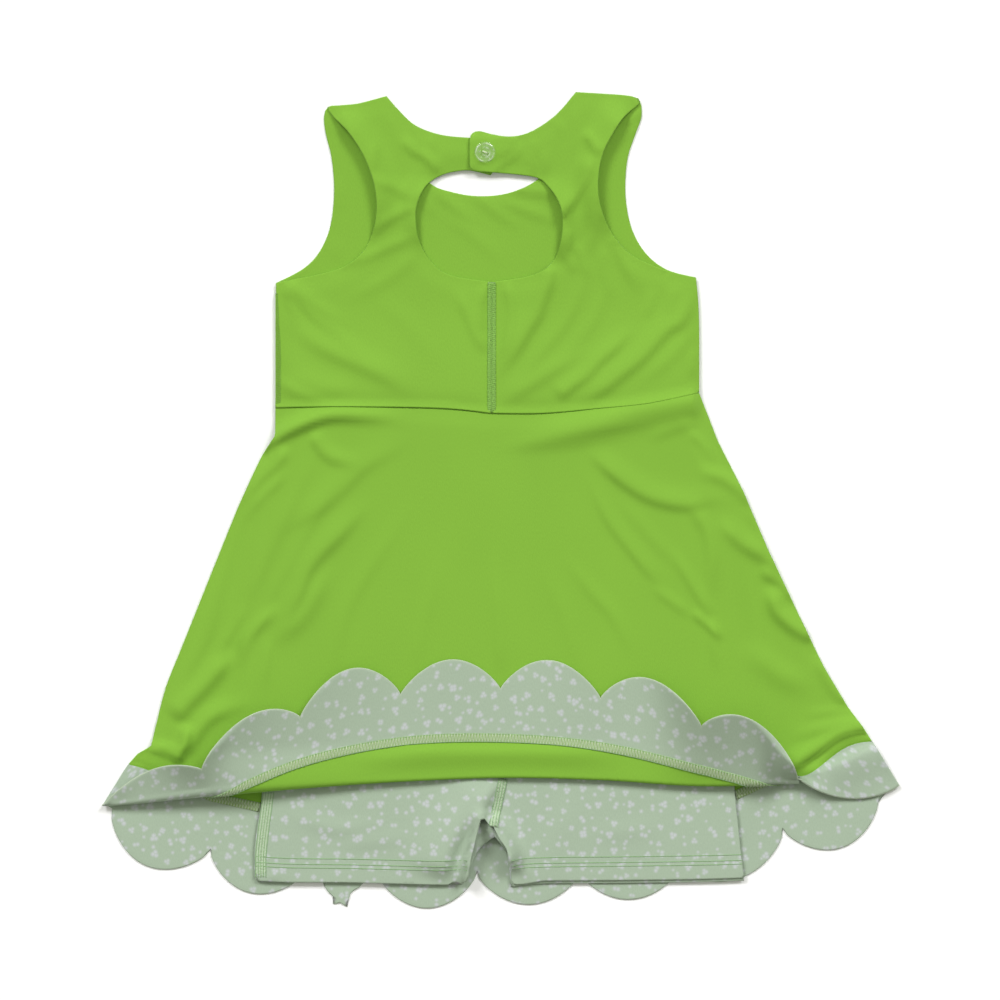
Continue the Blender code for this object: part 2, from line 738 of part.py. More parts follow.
def add_strip(name, line, widths, floor_of, look):
    """A narrow flat strip along a line, standing off the panel that it lies on."""
    lower, upper = [], []
    for index, (place, width) in enumerate(zip(line, widths)):
        before = Vector(line[max(index - 1, 0)])
        after = Vector(line[min(index + 1, len(line) - 1)])
        side = (after - before).orthogonal().normalized() * width / 2
        ends = [Vector(place) + side, Vector(place) - side]
        base = max(floor_of(*end) for end in (ends[0], place, ends[1]))
        lower.append([(end.x, end.y, base) for end in ends])
        upper.append([(end.x, end.y, base + TAPE) for end in ends])
    return add_sheet(name, upper, lower, look)


def make_front_seam_strips():
    """The overlock strip of the front border, where it shows beside the legs."""
    on_panel = flat_floor(KNIT + GAP)
    widths = [OVERLOCK_WIDTH] * FRONT_STRIP_POINTS
    for side, span in FRONT_STRIPS.items():
        across = [float(x) for x in np.linspace(*span, FRONT_STRIP_POINTS)]
        line = [(x, row_value(FRONT_SEAM, x, 1)) for x in across]
        add_strip(f"front_seam_strip_{side}", line, widths, on_panel, STRIP)


def make_front_bodice():
    left_armhole = [(row[1], row[0]) for row in ARMHOLE_ROWS]
    right_armhole = [(row[4], row[0]) for row in ARMHOLE_ROWS]
    loop = closed_outline(
        FRONT_NECK[:-1],
        [*SHOULDER_RIGHT, *right_armhole],
        [UNDERARM_RIGHT, BODICE_SIDE_RIGHT],
        WAIST[:0:-1],
        [WAIST[0]],
        [UNDERARM_LEFT, *left_armhole[::-1], *SHOULDER_LEFT[:0:-1]],
        step=8.0,
    )
    high = lambda x, y: y > FRONT_BODICE_SHOWS
    add_slab("front_bodice", loop, flat_floor(0.0), GREEN, spacing=14.0, shows=high)


def make_back_bodice():
    split = GAP / 2
    keyhole_left = [(row[1], row[0]) for row in KEYHOLE_ROWS]
    keyhole_right = [(row[2], row[0]) for row in KEYHOLE_ROWS]
    waist_left = [point for point in WAIST if point[0] < CENTRE_SEAM - SEAM_CLEARANCE]
    waist_right = [point for point in WAIST if point[0] > CENTRE_SEAM + SEAM_CLEARANCE]
    seam_foot = waist_height(CENTRE_SEAM)
    left_armhole = [(row[2], row[0]) for row in ARMHOLE_ROWS]
    right_armhole = [(row[3], row[0]) for row in ARMHOLE_ROWS]
    left = closed_outline(
        NECK_LEFT + STRAP_END,
        BRIDGE_LEFT + keyhole_left,
        [(CENTRE_SEAM - split, KEYHOLE_BOTTOM)],
        [(CENTRE_SEAM - split, seam_foot), *waist_left[:0:-1]],
        [WAIST[0]],
        [UNDERARM_LEFT, *left_armhole[::-1], *SHOULDER_LEFT[:0:-1]],
    )
    add_slab("back_bodice_left", left, back_floor, GREEN, spacing=10.0)
    right = closed_outline(
        TAB_CORNER_BOTTOM + TAB_CORNER_TOP + TAB_TOP,
        [*SHOULDER_RIGHT, *right_armhole],
        [UNDERARM_RIGHT, BODICE_SIDE_RIGHT],
        waist_right[::-1],
        [(CENTRE_SEAM + split, seam_foot)],
        [(CENTRE_SEAM + split, KEYHOLE_BOTTOM), *keyhole_right[::-1], *BRIDGE_RIGHT],
    )
    add_slab("back_bodice_right", right, tab_floor, GREEN, spacing=10.0)


def make_bodice_tapes():
    on_back = lambda x, y: back_floor(x, y) + KNIT + TAPE_GAP
    foot = waist_height(CENTRE_SEAM) + TAPE
    heights = np.linspace(foot, KEYHOLE_BOTTOM - GAP, TAPE_POINTS)
    line = [(CENTRE_SEAM, float(y)) for y in heights]
    add_strip("centre_back_tape", line, [TAPE_WIDTH] * TAPE_POINTS, on_back, SEAM_TAPE)
    heights = np.linspace(*SIDE_TAPE_SPAN, SIDE_TAPE_POINTS)
    losses = [SIDE_TAPE_LOSS * soft_step(y, *SIDE_TAPE_TAPER) for y in heights]
    widths = [SIDE_TAPE_WIDTH * (1 - loss) for loss in losses]
    line = [(SIDE_TAPE_EDGE + width / 2, float(y)) for y, width in zip(heights, widths)]
    add_strip("side_seam_tape", line, widths, on_back, SEAM_TAPE)


def make_shorts():
    sides = [[(row[side], row[0]) for row in SHORTS_SIDE_ROWS] for side in (1, 2)]
    split = GAP / 2
    top_left = (SHORTS_SEAM_TOP[0] - split, SHORTS_TOP)
    top_right = (SHORTS_SEAM_TOP[0] + split, SHORTS_TOP)
    seam_end_left = (SHORTS_SEAM_END[0] - split, SHORTS_SEAM_END[1])
    seam_end_right = (SHORTS_SEAM_END[0] + split, SHORTS_SEAM_END[1])
    seam_left = (SHORTS_SEAM_TOP[0] - split, SHORTS_SEAM_TOP[1])
    seam_right = (SHORTS_SEAM_TOP[0] + split, SHORTS_SEAM_TOP[1])
    low = lambda x, y: y < SHORTS_SHOW
    left = closed_outline(
        [top_left],
        sides[0][:-1],
        LEFT_LEG_HEM,
        LEFT_LEG_INNER,
        [seam_end_left],
        [seam_left],
        step=9.0,
    )
    add_slab("shorts_back_left", left, leg_floor, PRINT, spacing=11.0, shows=low)
    right = closed_outline(
        [top_right],
        [seam_right],
        [seam_end_right],
        RIGHT_LEG_INNER,
        RIGHT_LEG_HEM[:-1],
        sides[1][::-1],
        step=9.0,
    )
    add_slab("shorts_back_right", right, leg_floor, PRINT, spacing=11.0, shows=low)
    floor = flat_floor(SHORTS_FRONT_FLOOR)
    front = closed_outline(
        sides[0],
        lowered(LEFT_LEG_HEM[:-1], FRONT_LEG_DROPS[0]),
        GUSSET_LEFT,
        GUSSET_RIGHT,
        [GUSSET_FOOT_RIGHT, *lowered(RIGHT_LEG_HEM[:-1], FRONT_LEG_DROPS[1])],
        [FRONT_LEG_CORNER, *sides[1][-2::-1]],
        step=11.0,
    )
    add_slab("shorts_front", front, floor, PRINT, spacing=22.0, shows=low)
    on_legs = lambda x, y: leg_floor(x, y) + KNIT + GAP
    ways = np.linspace(0, 1, SHORTS_SEAM_POINTS)
    line = [tuple(Vector(SHORTS_SEAM_TOP).lerp(Vector(SHORTS_SEAM_END), way)) for way in ways]
    widths = [SHORTS_SEAM_WIDTH] * SHORTS_SEAM_POINTS
    add_strip("shorts_centre_seam", line, widths, on_legs, STRIP)


def make_button():
    """A dished disc with two holes, turned from its profile."""
    base = tab_floor(*BUTTON_CENTRE) + KNIT + GAP
    solid = bmesh.new()
    points = [solid.verts.new((radius, 0.0, base + height)) for radius, height in BUTTON_PROFILE]
    edges = [solid.edges.new(pair) for pair in zip(points, points[1:])]
    bmesh.ops.spin(
        solid,
        geom=points + edges,
        cent=(0, 0, 0),
        axis=(0, 0, 1),
        angle=2 * math.pi,
        steps=BUTTON_SIDES,
        use_merge=True,
    )
    bmesh.ops.remove_doubles(solid, verts=solid.verts, dist=1e-4)
    bmesh.ops.translate(solid, vec=(*BUTTON_CENTRE, 0.0), verts=solid.verts)
    button = add_piece("button", solid, CLEAR)
    for side in (-1, 1):
        cut_button_hole(button, side * BUTTON_HOLE_OFFSET, base)


def cut_button_hole(button, offset, base):
    cutter = bmesh.new()
    bmesh.ops.create_cone(
        cutter,
        cap_ends=True,
        segments=BUTTON_HOLE_SIDES,
        radius1=BUTTON_HOLE_RADIUS,
        radius2=BUTTON_HOLE_RADIUS,
        depth=3 * BUTTON_THICKNESS,
    )
    slant = math.radians(BUTTON_TURN)
    x = BUTTON_CENTRE[0] + offset * math.cos(slant)
    y = BUTTON_CENTRE[1] + offset * math.sin(slant)
    bmesh.ops.translate(cutter, vec=(x, y, base), verts=cutter.verts)
    hole = add_piece(f"button_hole_{'left' if offset < 0 else 'right'}", cutter, CLEAR)
    hole.hide_render = True
    hole.display_type = "WIRE"
    cut = button.modifiers.new(hole.name, "BOOLEAN")
    cut.object = hole
    cut.operation = "DIFFERENCE"
    cut.solver = "EXACT"


clear_scene()
make_front_bodice()
make_front_skirt()
make_front_border()
make_front_seam_strips()
make_shorts()
make_back_skirt()
make_back_border()
make_back_seam_strip()
make_back_bodice()
make_bodice_tapes()
make_button()
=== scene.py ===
# A toddler's athletic dress with built-in shorts, laid flat with its back up.
# Sizes are in millimetres until a mesh is made. X is right, Y towards the shoulders, Z up.
import math

import bpy
import numpy as np
from mathutils.geometry import delaunay_2d_cdt
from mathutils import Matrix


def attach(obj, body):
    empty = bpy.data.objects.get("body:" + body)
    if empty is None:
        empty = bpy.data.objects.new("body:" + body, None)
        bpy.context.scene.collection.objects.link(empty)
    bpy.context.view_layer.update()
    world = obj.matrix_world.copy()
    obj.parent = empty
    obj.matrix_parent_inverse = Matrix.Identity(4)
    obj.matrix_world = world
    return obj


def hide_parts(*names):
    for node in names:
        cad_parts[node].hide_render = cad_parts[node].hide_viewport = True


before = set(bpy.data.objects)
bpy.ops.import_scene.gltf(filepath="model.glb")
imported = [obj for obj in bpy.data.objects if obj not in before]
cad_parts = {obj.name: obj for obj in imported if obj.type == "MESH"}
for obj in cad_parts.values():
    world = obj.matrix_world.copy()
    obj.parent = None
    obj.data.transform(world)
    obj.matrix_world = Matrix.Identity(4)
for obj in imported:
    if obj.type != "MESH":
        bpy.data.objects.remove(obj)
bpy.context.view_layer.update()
mm = 0.001

cloth = {
    "wall": 1.2,  # jersey with its turned edges
    "gap": 0.3,  # between layers
    "seam": 0.06,  # between panels that are sewn together
    "rim": 0.5,  # how far an edge is rounded
    "rimSteps": (0.13, 0.36, 0.9),  # rows of points beside an edge
    "rimClear": 0.9,  # share of its step that a row keeps from other edges
    "gridClear": (1.0, 0.4),  # from an edge to the inner points, and more by this share of their spacing
    "cornerFan": (0.15, 0.32, 0.68, 0.85),  # rows round a corner that turns inwards, as shares of its turn
    "sharpTurn": -0.5,  # sine of a turn that has them
    "puff": 0.8,  # how high a panel lies between its seams
    "puffRun": 11.0,  # distance in which it rises to that
    "curveStep": 4.0,  # between points of a crease or a hidden edge
    "pastEnd": 0.01,  # a line is drawn out at least so far
    "frontMap": (600.0, 0.0),  # place of the front panels in the cloth's map, away from the back's
}

layers = {
    "front": 0.0,
    "shortsFront": 1.5,
    "shortsBack": 3.0,
    "back": 1.5,
    "backOverShorts": 4.9,
    "besideShorts": (26.0, 8.0),  # past the shorts' sides, as the back rises onto them
    "aboveShorts": (122.0, 58.0),
}


# Soft steps and curves

def ease(value):
    held = np.clip(value, 0.0, 1.0)
    return held * held * (3 - 2 * held)


def softStep(value, start, whole):
    return ease((value - start) / (whole - start))


def onCurve(before, start, end, after, way):
    bend = 2 * before - 5 * start + 4 * end - after
    turn = 3 * start - before - 3 * end + after
    return start + 0.5 * way * (end - before + way * (bend + way * turn))


def smoothRun(points, step):  # along a smooth curve, the last point left out
    ends = np.array([points[0], *points, points[-1]], float)
    run = []
    for before, start, end, after in zip(ends, ends[1:], ends[2:], ends[3:]):
        count = max(1, round(float(np.linalg.norm(end - start)) / step))
        run += [onCurve(before, start, end, after, index / count) for index in range(count)]
    return run


def smoothLine(points, step):
    return np.array(smoothRun(points, step) + [np.array(points[-1], float)])


def closedOutline(runs, step):  # a corner where two runs meet
    loop = []
    for run, following in zip(runs, runs[1:] + runs[:1]):
        loop += smoothRun([*run, following[0]], step)
    return loop


def rowValue(rows, where, column):
    ordered = sorted(rows)
    return np.interp(where, [row[0] for row in ordered], [row[column] for row in ordered])


def rimShare(distance):  # a quarter round over the rim's radius
    left = 1 - np.clip(distance / cloth["rim"], 0.0, 1.0)
    return np.sqrt(1 - left * left)


def offStretch(x, y, start, end):
    # Where a straight stretch passes nearest, as a share of it, and the offset from there
    along = end - start
    size = max(float(along @ along), 1e-12)
    way = np.clip(((x - start[0]) * along[0] + (y - start[1]) * along[1]) / size, 0, 1)
    return way, x - start[0] - way * along[0], y - start[1] - way * along[1]


def edgeDistance(x, y, line, closed=True):
    nearest = np.full(np.shape(x), 1e9)
    line = np.asarray(line, float)
    for start, end in zip(line, np.roll(line, -1, axis=0) if closed else line[1:]):
        _, offX, offY = offStretch(x, y, start, end)
        nearest = np.minimum(nearest, np.hypot(offX, offY))
    return nearest


def insideLoop(x, y, loop):
    loop = np.asarray(loop, float)
    odd = np.zeros(np.shape(x), bool)
    for start, end in zip(loop, np.roll(loop, -1, axis=0)):
        if start[1] != end[1]:
            crossing = start[0] + (y - start[1]) * (end[0] - start[0]) / (end[1] - start[1])
            odd ^= ((start[1] > y) != (end[1] > y)) & (x < crossing)
    return odd


def distances(line):  # along a line, of its points
    return np.concatenate([[0.0], np.cumsum(np.linalg.norm(np.diff(line, axis=0), axis=1))])


def lineLength(line):
    return float(np.linalg.norm(np.diff(np.asarray(line, float), axis=0), axis=1).sum())


def drawnOut(line, before, after):  # straight past both of its ends
    first, last = line[0] - line[1], line[-1] - line[-2]
    return np.concatenate([
        [line[0] + first / np.linalg.norm(first) * (before + cloth["pastEnd"])],
        line,
        [line[-1] + last / np.linalg.norm(last) * (after + cloth["pastEnd"])],
    ])


# Creases: line, height, width on its left and on its right, and the shares of its length in which
# it rises and falls, half of that past its ends

def creaseHeight(x, y, creases):
    total = np.zeros(np.shape(x))
    for points, height, leftWidth, rightWidth, rising, falling in creases:
        line = smoothLine(points, cloth["curveStep"])
        size = lineLength(line)
        line = drawnOut(line, rising * size, falling * size)
        steps = distances(line)
        nearest = np.full(np.shape(x), 1e9)
        side = np.zeros(np.shape(x))
        share = np.zeros(np.shape(x))
        for index, (start, end) in enumerate(zip(line, line[1:])):
            way, offX, offY = offStretch(x, y, start, end)
            away = np.hypot(offX, offY)
            closer = away < nearest
            along = end - start
            nearest = np.where(closer, away, nearest)
            side = np.where(closer, along[0] * offY - along[1] * offX, side)
            run = steps[index] + way * (steps[index + 1] - steps[index])
            share = np.where(closer, run / size, share)
        width = np.where(side > 0, leftWidth, rightWidth)
        left = steps[-1] / size - share
        present = softStep(share, -1e-6, 2 * rising) * softStep(left, -1e-6, 2 * falling)
        total += height * present * np.exp(-((nearest / width) ** 2))
    return total


# Finishes

def colour(code):  # sRGB hex to linear
    channels = [int(code[place:place + 2], 16) / 255 for place in (0, 2, 4)]
    return [c / 12.92 if c <= 0.04045 else ((c + 0.055) / 1.055) ** 2.4 for c in channels] + [1.0]


def addNode(tree, kind, inputs=None, **settings):
    node = tree.nodes.new(kind)
    for key, value in settings.items():
        setattr(node, key, value)
    for key, value in (inputs or {}).items():
        if isinstance(value, bpy.types.NodeSocket):
            tree.links.new(value, node.inputs[key])
        else:
            node.inputs[key].default_value = value
    return node


def newFinish(name, settings):
    finish = bpy.data.materials.new(name)
    finish.use_nodes = True
    shader = finish.node_tree.nodes["Principled BSDF"]
    for key, value in settings.items():
        shader.inputs[key].default_value = value
    return finish, finish.node_tree, shader


def calc(tree, operation, first, second=0.0, third=0.0):
    return addNode(tree, "ShaderNodeMath", {0: first, 1: second, 2: third}, operation=operation).outputs[0]


def blended(tree, share, first, second):
    node = addNode(tree, "ShaderNodeMix", {0: share, 6: first, 7: second}, data_type="RGBA")
    return node.outputs[2]


def ranged(tree, value, low, high, least=0.0, most=1.0, curve="LINEAR"):
    inputs = {0: value, 1: low, 2: high, 3: least, 4: most}
    return addNode(tree, "ShaderNodeMapRange", inputs, interpolation_type=curve).outputs[0]


def noise(tree, place, size, detail, dimensions="3D"):
    inputs = {"Vector": place, "Scale": 1 / size, "Detail": detail}
    return addNode(tree, "ShaderNodeTexNoise", inputs, noise_dimensions=dimensions).outputs[0]


def onObject(tree):
    return addNode(tree, "ShaderNodeTexCoord").outputs["Object"]


def evenColour(tree, code):
    base = addNode(tree, "ShaderNodeRGB").outputs[0]
    base.default_value = colour(code)
    return base


def varied(tree, value, amount, about=1.0):  # a noise's swing about its middle, as a tone
    return calc(tree, "MULTIPLY_ADD", calc(tree, "SUBTRACT", value, 0.5), amount, about)


def dyed(tree, shader, base, tone):
    shade = addNode(tree, "ShaderNodeVectorMath", {0: base, 3: tone}, operation="SCALE").outputs[0]
    tree.links.new(shade, shader.inputs["Base Color"])


def raised(tree, shader, height, depth):
    inputs = {"Height": height, "Distance": depth * mm, "Strength": 1.0}
    bump = addNode(tree, "ShaderNodeBump", inputs).outputs[0]
    tree.links.new(bump, shader.inputs["Normal"])


def clothPlace(tree, size, stretch=(1.0, 1.0), shift=(0.0, 0.0)):
    # The cloth's own map is in metres, so a pattern of that size repeats once in each unit
    uv = addNode(tree, "ShaderNodeUVMap", uv_map="cloth").outputs[0]
    scale = (1 / (size * stretch[0] * mm), 1 / (size * stretch[1] * mm), 1.0)
    return addNode(
        tree, "ShaderNodeMapping", {0: uv, 1: (*shift, 0.0), 3: scale}, vector_type="POINT"
    ).outputs[0]


knit = {
    "grain": 1.1,  # the stitches are 0.4 mm, too fine to show, so their grain is drawn coarser
    "grainStretch": (0.6, 1.5),  # stitches stand in upright columns
    "grainDepth": 0.05,
    "grainTone": 0.14,
    "shade": 60.0,  # slow change of colour, from dyeing and wear
    "shadeTone": 0.05,
}


def knitSurface(tree, shader, base):
    # Fine columns of loops give jersey a soft, even grain
    grain = noise(tree, clothPlace(tree, knit["grain"], knit["grainStretch"]), 1.0, 2.0, "2D")
    shade = noise(tree, clothPlace(tree, knit["shade"]), 1.0, 1.0, "2D")
    tone = varied(tree, shade, knit["shadeTone"], varied(tree, grain, knit["grainTone"]))
    dyed(tree, shader, base, tone)
    raised(tree, shader, grain, knit["grainDepth"])


def plainJersey(name, code):
    # Polyester and elastane jersey, piece dyed: matt, with a faint sheen along its folds
    finish, tree, shader = newFinish(
        name, {"Roughness": 0.8, "Specular IOR Level": 0.25, "Sheen Weight": 0.12, "Sheen Roughness": 0.4}
    )
    knitSurface(tree, shader, evenColour(tree, code))
    return finish


ditsy = {
    "ground": "a0b19a",
    "flower": "c3c4ca",
    "strength": 0.72,
    "spacing": 9.4,
    "petals": (2.6, 1.5),  # at least, and by chance more, before rounding down
    "sizes": (0.75, 0.5),
    "petalPlace": 0.95,  # from the middle of a flower
    "petalRadius": 1.0,
    "budSpacing": 9.8,
    "budShift": (3.4, 7.7),
    "budRadius": 0.51,
    "randomness": 0.8,
    "softness": 0.95,  # of a printed edge
}


def scattered(tree, spacing, shift):
    place = clothPlace(tree, spacing, shift=shift)
    cells = addNode(
        tree, "ShaderNodeTexVoronoi", {"Vector": place, "Scale": 1.0, "Randomness": ditsy["randomness"]},
        voronoi_dimensions="2D",
    )
    chance = addNode(tree, "ShaderNodeSeparateColor", {0: cells.outputs["Color"]}).outputs
    away = addNode(
        tree, "ShaderNodeVectorMath", {0: place, 1: cells.outputs["Position"]}, operation="SUBTRACT"
    ).outputs[0]
    parts = addNode(tree, "ShaderNodeSeparateXYZ", {0: away}).outputs
    away = calc(tree, "MULTIPLY", cells.outputs["Distance"], spacing)
    return away, calc(tree, "ARCTAN2", parts[1], parts[0]), chance


def softEdge(tree, outside):
    return ranged(tree, outside, ditsy["softness"], -ditsy["softness"], curve="SMOOTHSTEP")


def flowers(tree):
    # Each has two to four round petals about its middle, its angle turned into one petal's share
    away, angle, chance = scattered(tree, ditsy["spacing"], (0.0, 0.0))
    fewest, more = ditsy["petals"]
    petals = calc(tree, "FLOOR", calc(tree, "MULTIPLY_ADD", chance[2], more, fewest))
    share = calc(tree, "DIVIDE", 2 * math.pi, petals)
    turned = calc(tree, "MULTIPLY_ADD", chance[0], 2 * math.pi, angle)
    turned = calc(tree, "FLOORED_MODULO", turned, share)
    turned = calc(tree, "SUBTRACT", turned, calc(tree, "MULTIPLY", share, 0.5))
    smallest, larger = ditsy["sizes"]
    size = calc(tree, "MULTIPLY_ADD", chance[1], larger, smallest)
    middle = calc(tree, "MULTIPLY", size, ditsy["petalPlace"])
    out = calc(tree, "SUBTRACT", calc(tree, "MULTIPLY", away, calc(tree, "COSINE", turned)), middle)
    side = calc(tree, "MULTIPLY", away, calc(tree, "SINE", turned))
    squares = [calc(tree, "MULTIPLY", part, part) for part in (out, side)]
    fromPetal = calc(tree, "SQRT", calc(tree, "ADD", *squares))
    radius = calc(tree, "MULTIPLY", size, ditsy["petalRadius"])
    return softEdge(tree, calc(tree, "SUBTRACT", fromPetal, radius))


def buds(tree):
    away, _, chance = scattered(tree, ditsy["budSpacing"], ditsy["budShift"])
    size = calc(tree, "MULTIPLY_ADD", chance[1], ditsy["budRadius"], ditsy["budRadius"])
    return softEdge(tree, calc(tree, "SUBTRACT", away, size))


def printedJersey(name, code):
    # The same jersey with a small pigment print, which lies on it a little paler and flatter
    finish, tree, shader = newFinish(
        name, {"Roughness": 0.78, "Specular IOR Level": 0.28, "Sheen Weight": 0.1, "Sheen Roughness": 0.4}
    )
    printed = calc(tree, "MULTIPLY", calc(tree, "MAXIMUM", flowers(tree), buds(tree)), ditsy["strength"])
    knitSurface(tree, shader, blended(tree, printed, colour(code), colour(ditsy["flower"])))
    return finish


def spunThread(name, code):
    # Textured polyester sewing thread: matt, fuzzy, its plies showing as small changes of tone
    finish, tree, shader = newFinish(
        name, {"Roughness": 0.85, "Sheen Weight": 0.25, "Specular IOR Level": 0.2}
    )
    plies = noise(tree, onObject(tree), sewing["plies"] * mm, 2.0)
    dyed(tree, shader, evenColour(tree, code), varied(tree, plies, sewing["plyTone"]))
    raised(tree, shader, plies, sewing["plyDepth"])
    return finish


sewing = {
    "plies": 1.1,  # size of the changes of tone along a thread
    "plyTone": 0.25,
    "plyDepth": 0.08,
    "cutEdge": 0.45,  # radius of a panel's cut edge
    "cutSink": 0.1,  # its middle, inside the cloth
    # a strip of overlock: its dome has these heights at these places, from its middle to its edges
    "stripHeight": 0.6,
    "stripGap": 0.3,
    "stripWidth": 5.6,
    "stripPlaces": (-1, -0.93, -0.6, -0.2, 0.2, 0.6, 0.93, 1),
    "stripDome": (0, 0.6, 0.92, 1, 1, 0.92, 0.6, 0),
    "stripStep": 2.0,
    # a flatter one that lies on a panel, in the same way
    "flatPlaces": (-1, -0.9, -0.5, 0, 0.5, 0.9, 1),
    "flatDome": (0, 0.7, 0.95, 1, 0.95, 0.7, 0),
    "flatHeight": 0.36,
    "flatSink": 0.15,
    "zigzag": 1.75,  # pitch of the looper threads
    "turnPoints": 12,  # in each of their turns
    "slant": 0.72,  # share of the pitch in which they cross the strip
    "overreach": 1.15,  # past the strip's edges, where they are held
    "loopRadius": 0.24,
    "loopClear": 0.05,  # over the strip
    "loopDrop": 0.35,  # at the strip's edges
    "flatDrop": 0.4,
    "loopSpan": 0.98,  # share of the strip's width
    "needlePitch": 2.8,
    "needleRadius": 0.2,
    "needleStep": 0.45,
    "stitchStep": 0.4,
    "needlePlaces": (0.86, -0.9),  # shares of half a strip
    "needleLift": 0.34,
    "between": (-0.55, -0.95),  # of a stitch's wave, as the thread goes down between two stitches
    # threads that fill the ditch between two panels
    "ditchRadius": 0.34,
    "waistPitch": 2.6,
    "waistDepth": 0.42,
    "waistWave": 0.05,
    "borderShares": ((0.876, 0.998, 130), (0.002, 0.1, 100)),  # from, to, points
    "borderDepth": 0.3,
    "borderWave": (0.06, 1.4),
}


finishes = {
    "lime": plainJersey("limePolyesterJersey", "7dae36"),
    "print": printedJersey("printedPolyesterJersey", ditsy["ground"]),
    # the border's cut edge, paler than the print: a painted highlight where the edge catches the light
    "cutEdge": spunThread("paleCutEdgePaintedHighlight", "b2c0a6"),
    # one overlock thread in two tones: the strip darker as painted shade between the loops, the loops paler
    # as painted light on them
    "overlock": spunThread("overlockThreadPaintedShade", "8fab72"),
    "looper": spunThread("overlockLooperThreadPaintedLight", "b6c6a2"),
    "needle": spunThread("needleThread", "8aae7c"),
    "tape": spunThread("coverThread", "84b350"),
    # the side seam's cover thread, painted darker than the centre tape's as the shadow along the side seam
    "shadedSideTape": spunThread("sideCoverThreadPaintedShade", "76a436"),
    "flatlock": spunThread("flatlockThread", "b4c6a8"),
}


# Meshes

def addMesh(name, points, faces, finish, uv=None):
    mesh = bpy.data.meshes.new(name)
    mesh.from_pydata((np.asarray(points, float) * mm).tolist(), [], faces)
    mesh.materials.append(finish)
    if uv is not None:
        layer = mesh.uv_layers.new(name="cloth")
        corners = np.empty(len(mesh.loops), np.int32)
        mesh.loops.foreach_get("vertex_index", corners)
        layer.data.foreach_set("uv", (np.asarray(uv, float)[corners] * mm).astype(np.float32).ravel())
    mesh.shade_smooth()
    piece = bpy.data.objects.new(name, mesh)
    bpy.context.scene.collection.objects.link(piece)
    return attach(piece, "root")


def standIn(piece, node):  # for a CAD node
    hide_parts(node)
    return piece


def shellMesh(name, upper, lower, uv, finish):
    # Two grids of points that meet along their edges
    rows, columns = upper.shape[:2]
    top = np.arange(rows * columns).reshape(rows, columns)
    bottom = top.copy()
    inner = (rows - 2) * (columns - 2)
    bottom[1:-1, 1:-1] = rows * columns + np.arange(inner).reshape(rows - 2, columns - 2)
    points = np.concatenate([upper.reshape(-1, 3), lower[1:-1, 1:-1].reshape(-1, 3)])
    flat = np.concatenate([uv.reshape(-1, 2), uv[1:-1, 1:-1].reshape(-1, 2)])
    faces = []
    for grid, turned in ((top, False), (bottom, True)):
        quads = np.stack([grid[:-1, :-1], grid[1:, :-1], grid[1:, 1:], grid[:-1, 1:]], axis=-1)
        quads = quads.reshape(-1, 4)
        faces.append(quads[:, ::-1] if turned else quads)
    return addMesh(name, points, np.concatenate(faces).tolist(), finish, flat)


def fannedCorners(loop, inward):
    # Rows of points round each corner that turns inwards
    ahead = np.roll(loop, -1, axis=0) - loop
    behind = loop - np.roll(loop, 1, axis=0)
    turning = behind[:, 0] * ahead[:, 1] - behind[:, 1] * ahead[:, 0]
    turning /= np.hypot(*behind.T) * np.hypot(*ahead.T)
    before, after = np.roll(inward, 1, axis=0), np.roll(inward, -1, axis=0)
    fans = []
    for corner in np.flatnonzero(turning < cloth["sharpTurn"]):
        for share in cloth["cornerFan"]:
            way = before[corner] * (1 - share) + after[corner] * share
            fans.append(loop[corner] + np.outer(cloth["rimSteps"], way / np.linalg.norm(way)))
    return fans


def panelPoints(loop, spacing):
    # The outline, rows of points beside it, and an even grid of triangles inside
    along = np.roll(loop, -1, axis=0) - np.roll(loop, 1, axis=0)
    inward = np.stack([-along[:, 1], along[:, 0]], axis=1)
    inward /= np.linalg.norm(inward, axis=1)[:, None]
    parts = [loop, *fannedCorners(loop, inward)]
    for step in cloth["rimSteps"]:
        ring = loop + inward * step
        clear = edgeDistance(*ring.T, loop) > cloth["rimClear"] * step
        parts.append(ring[clear & insideLoop(*ring.T, loop)])
    low, high = loop.min(axis=0), loop.max(axis=0)
    rowStep = spacing * math.sqrt(0.75)
    grid = np.array([
        (low[0] + spacing / 2 * (row % 2) + column * spacing, low[1] + row * rowStep)
        for row in range(int((high[1] - low[1]) / rowStep) + 1)
        for column in range(int((high[0] - low[0]) / spacing) + 1)
    ])
    grid = grid[insideLoop(*grid.T, loop)]
    near, share = cloth["gridClear"]
    parts.append(grid[edgeDistance(*grid.T, loop) > near + share * spacing])
    return np.concatenate(parts)


def panelMesh(name, loop, middleOf, spacing, finish, shift=(0.0, 0.0)):
    # A closed shell inside an outline, its edges rounded
    loop = np.array(loop, float)
    following = np.roll(loop, -1, axis=0)
    if np.sum(loop[:, 0] * following[:, 1] - following[:, 0] * loop[:, 1]) < 0:
        loop = loop[::-1]
    points = [tuple(point) for point in panelPoints(loop, spacing)]
    edges = [(index, (index + 1) % len(loop)) for index in range(len(loop))]
    flat, _, faces, *_ = delaunay_2d_cdt(points, edges, [], 1, 1e-5)
    flat = np.array([tuple(point) for point in flat])
    faces = np.array(faces)
    first, second, third = (flat[faces[:, place]] for place in range(3))
    turned = np.cross(second - first, third - first) < 0
    faces[turned] = faces[turned][:, ::-1]
    x, y = flat.T
    distance = edgeDistance(x, y, loop)
    middle = middleOf(x, y, distance)
    half = cloth["wall"] / 2 * rimShare(distance)
    onEdge = distance < 1e-3
    lower = np.arange(len(flat))
    lower[~onEdge] = len(flat) + np.arange(int((~onEdge).sum()))
    top = np.stack([x, y, middle + np.where(onEdge, 0, half)], axis=1)
    bottom = np.stack([x, y, middle - half], axis=1)[~onEdge]
    uv = np.concatenate([flat, flat[~onEdge]]) + shift
    allFaces = faces.tolist() + lower[faces][:, ::-1].tolist()
    return addMesh(name, np.concatenate([top, bottom]), allFaces, finish, uv)


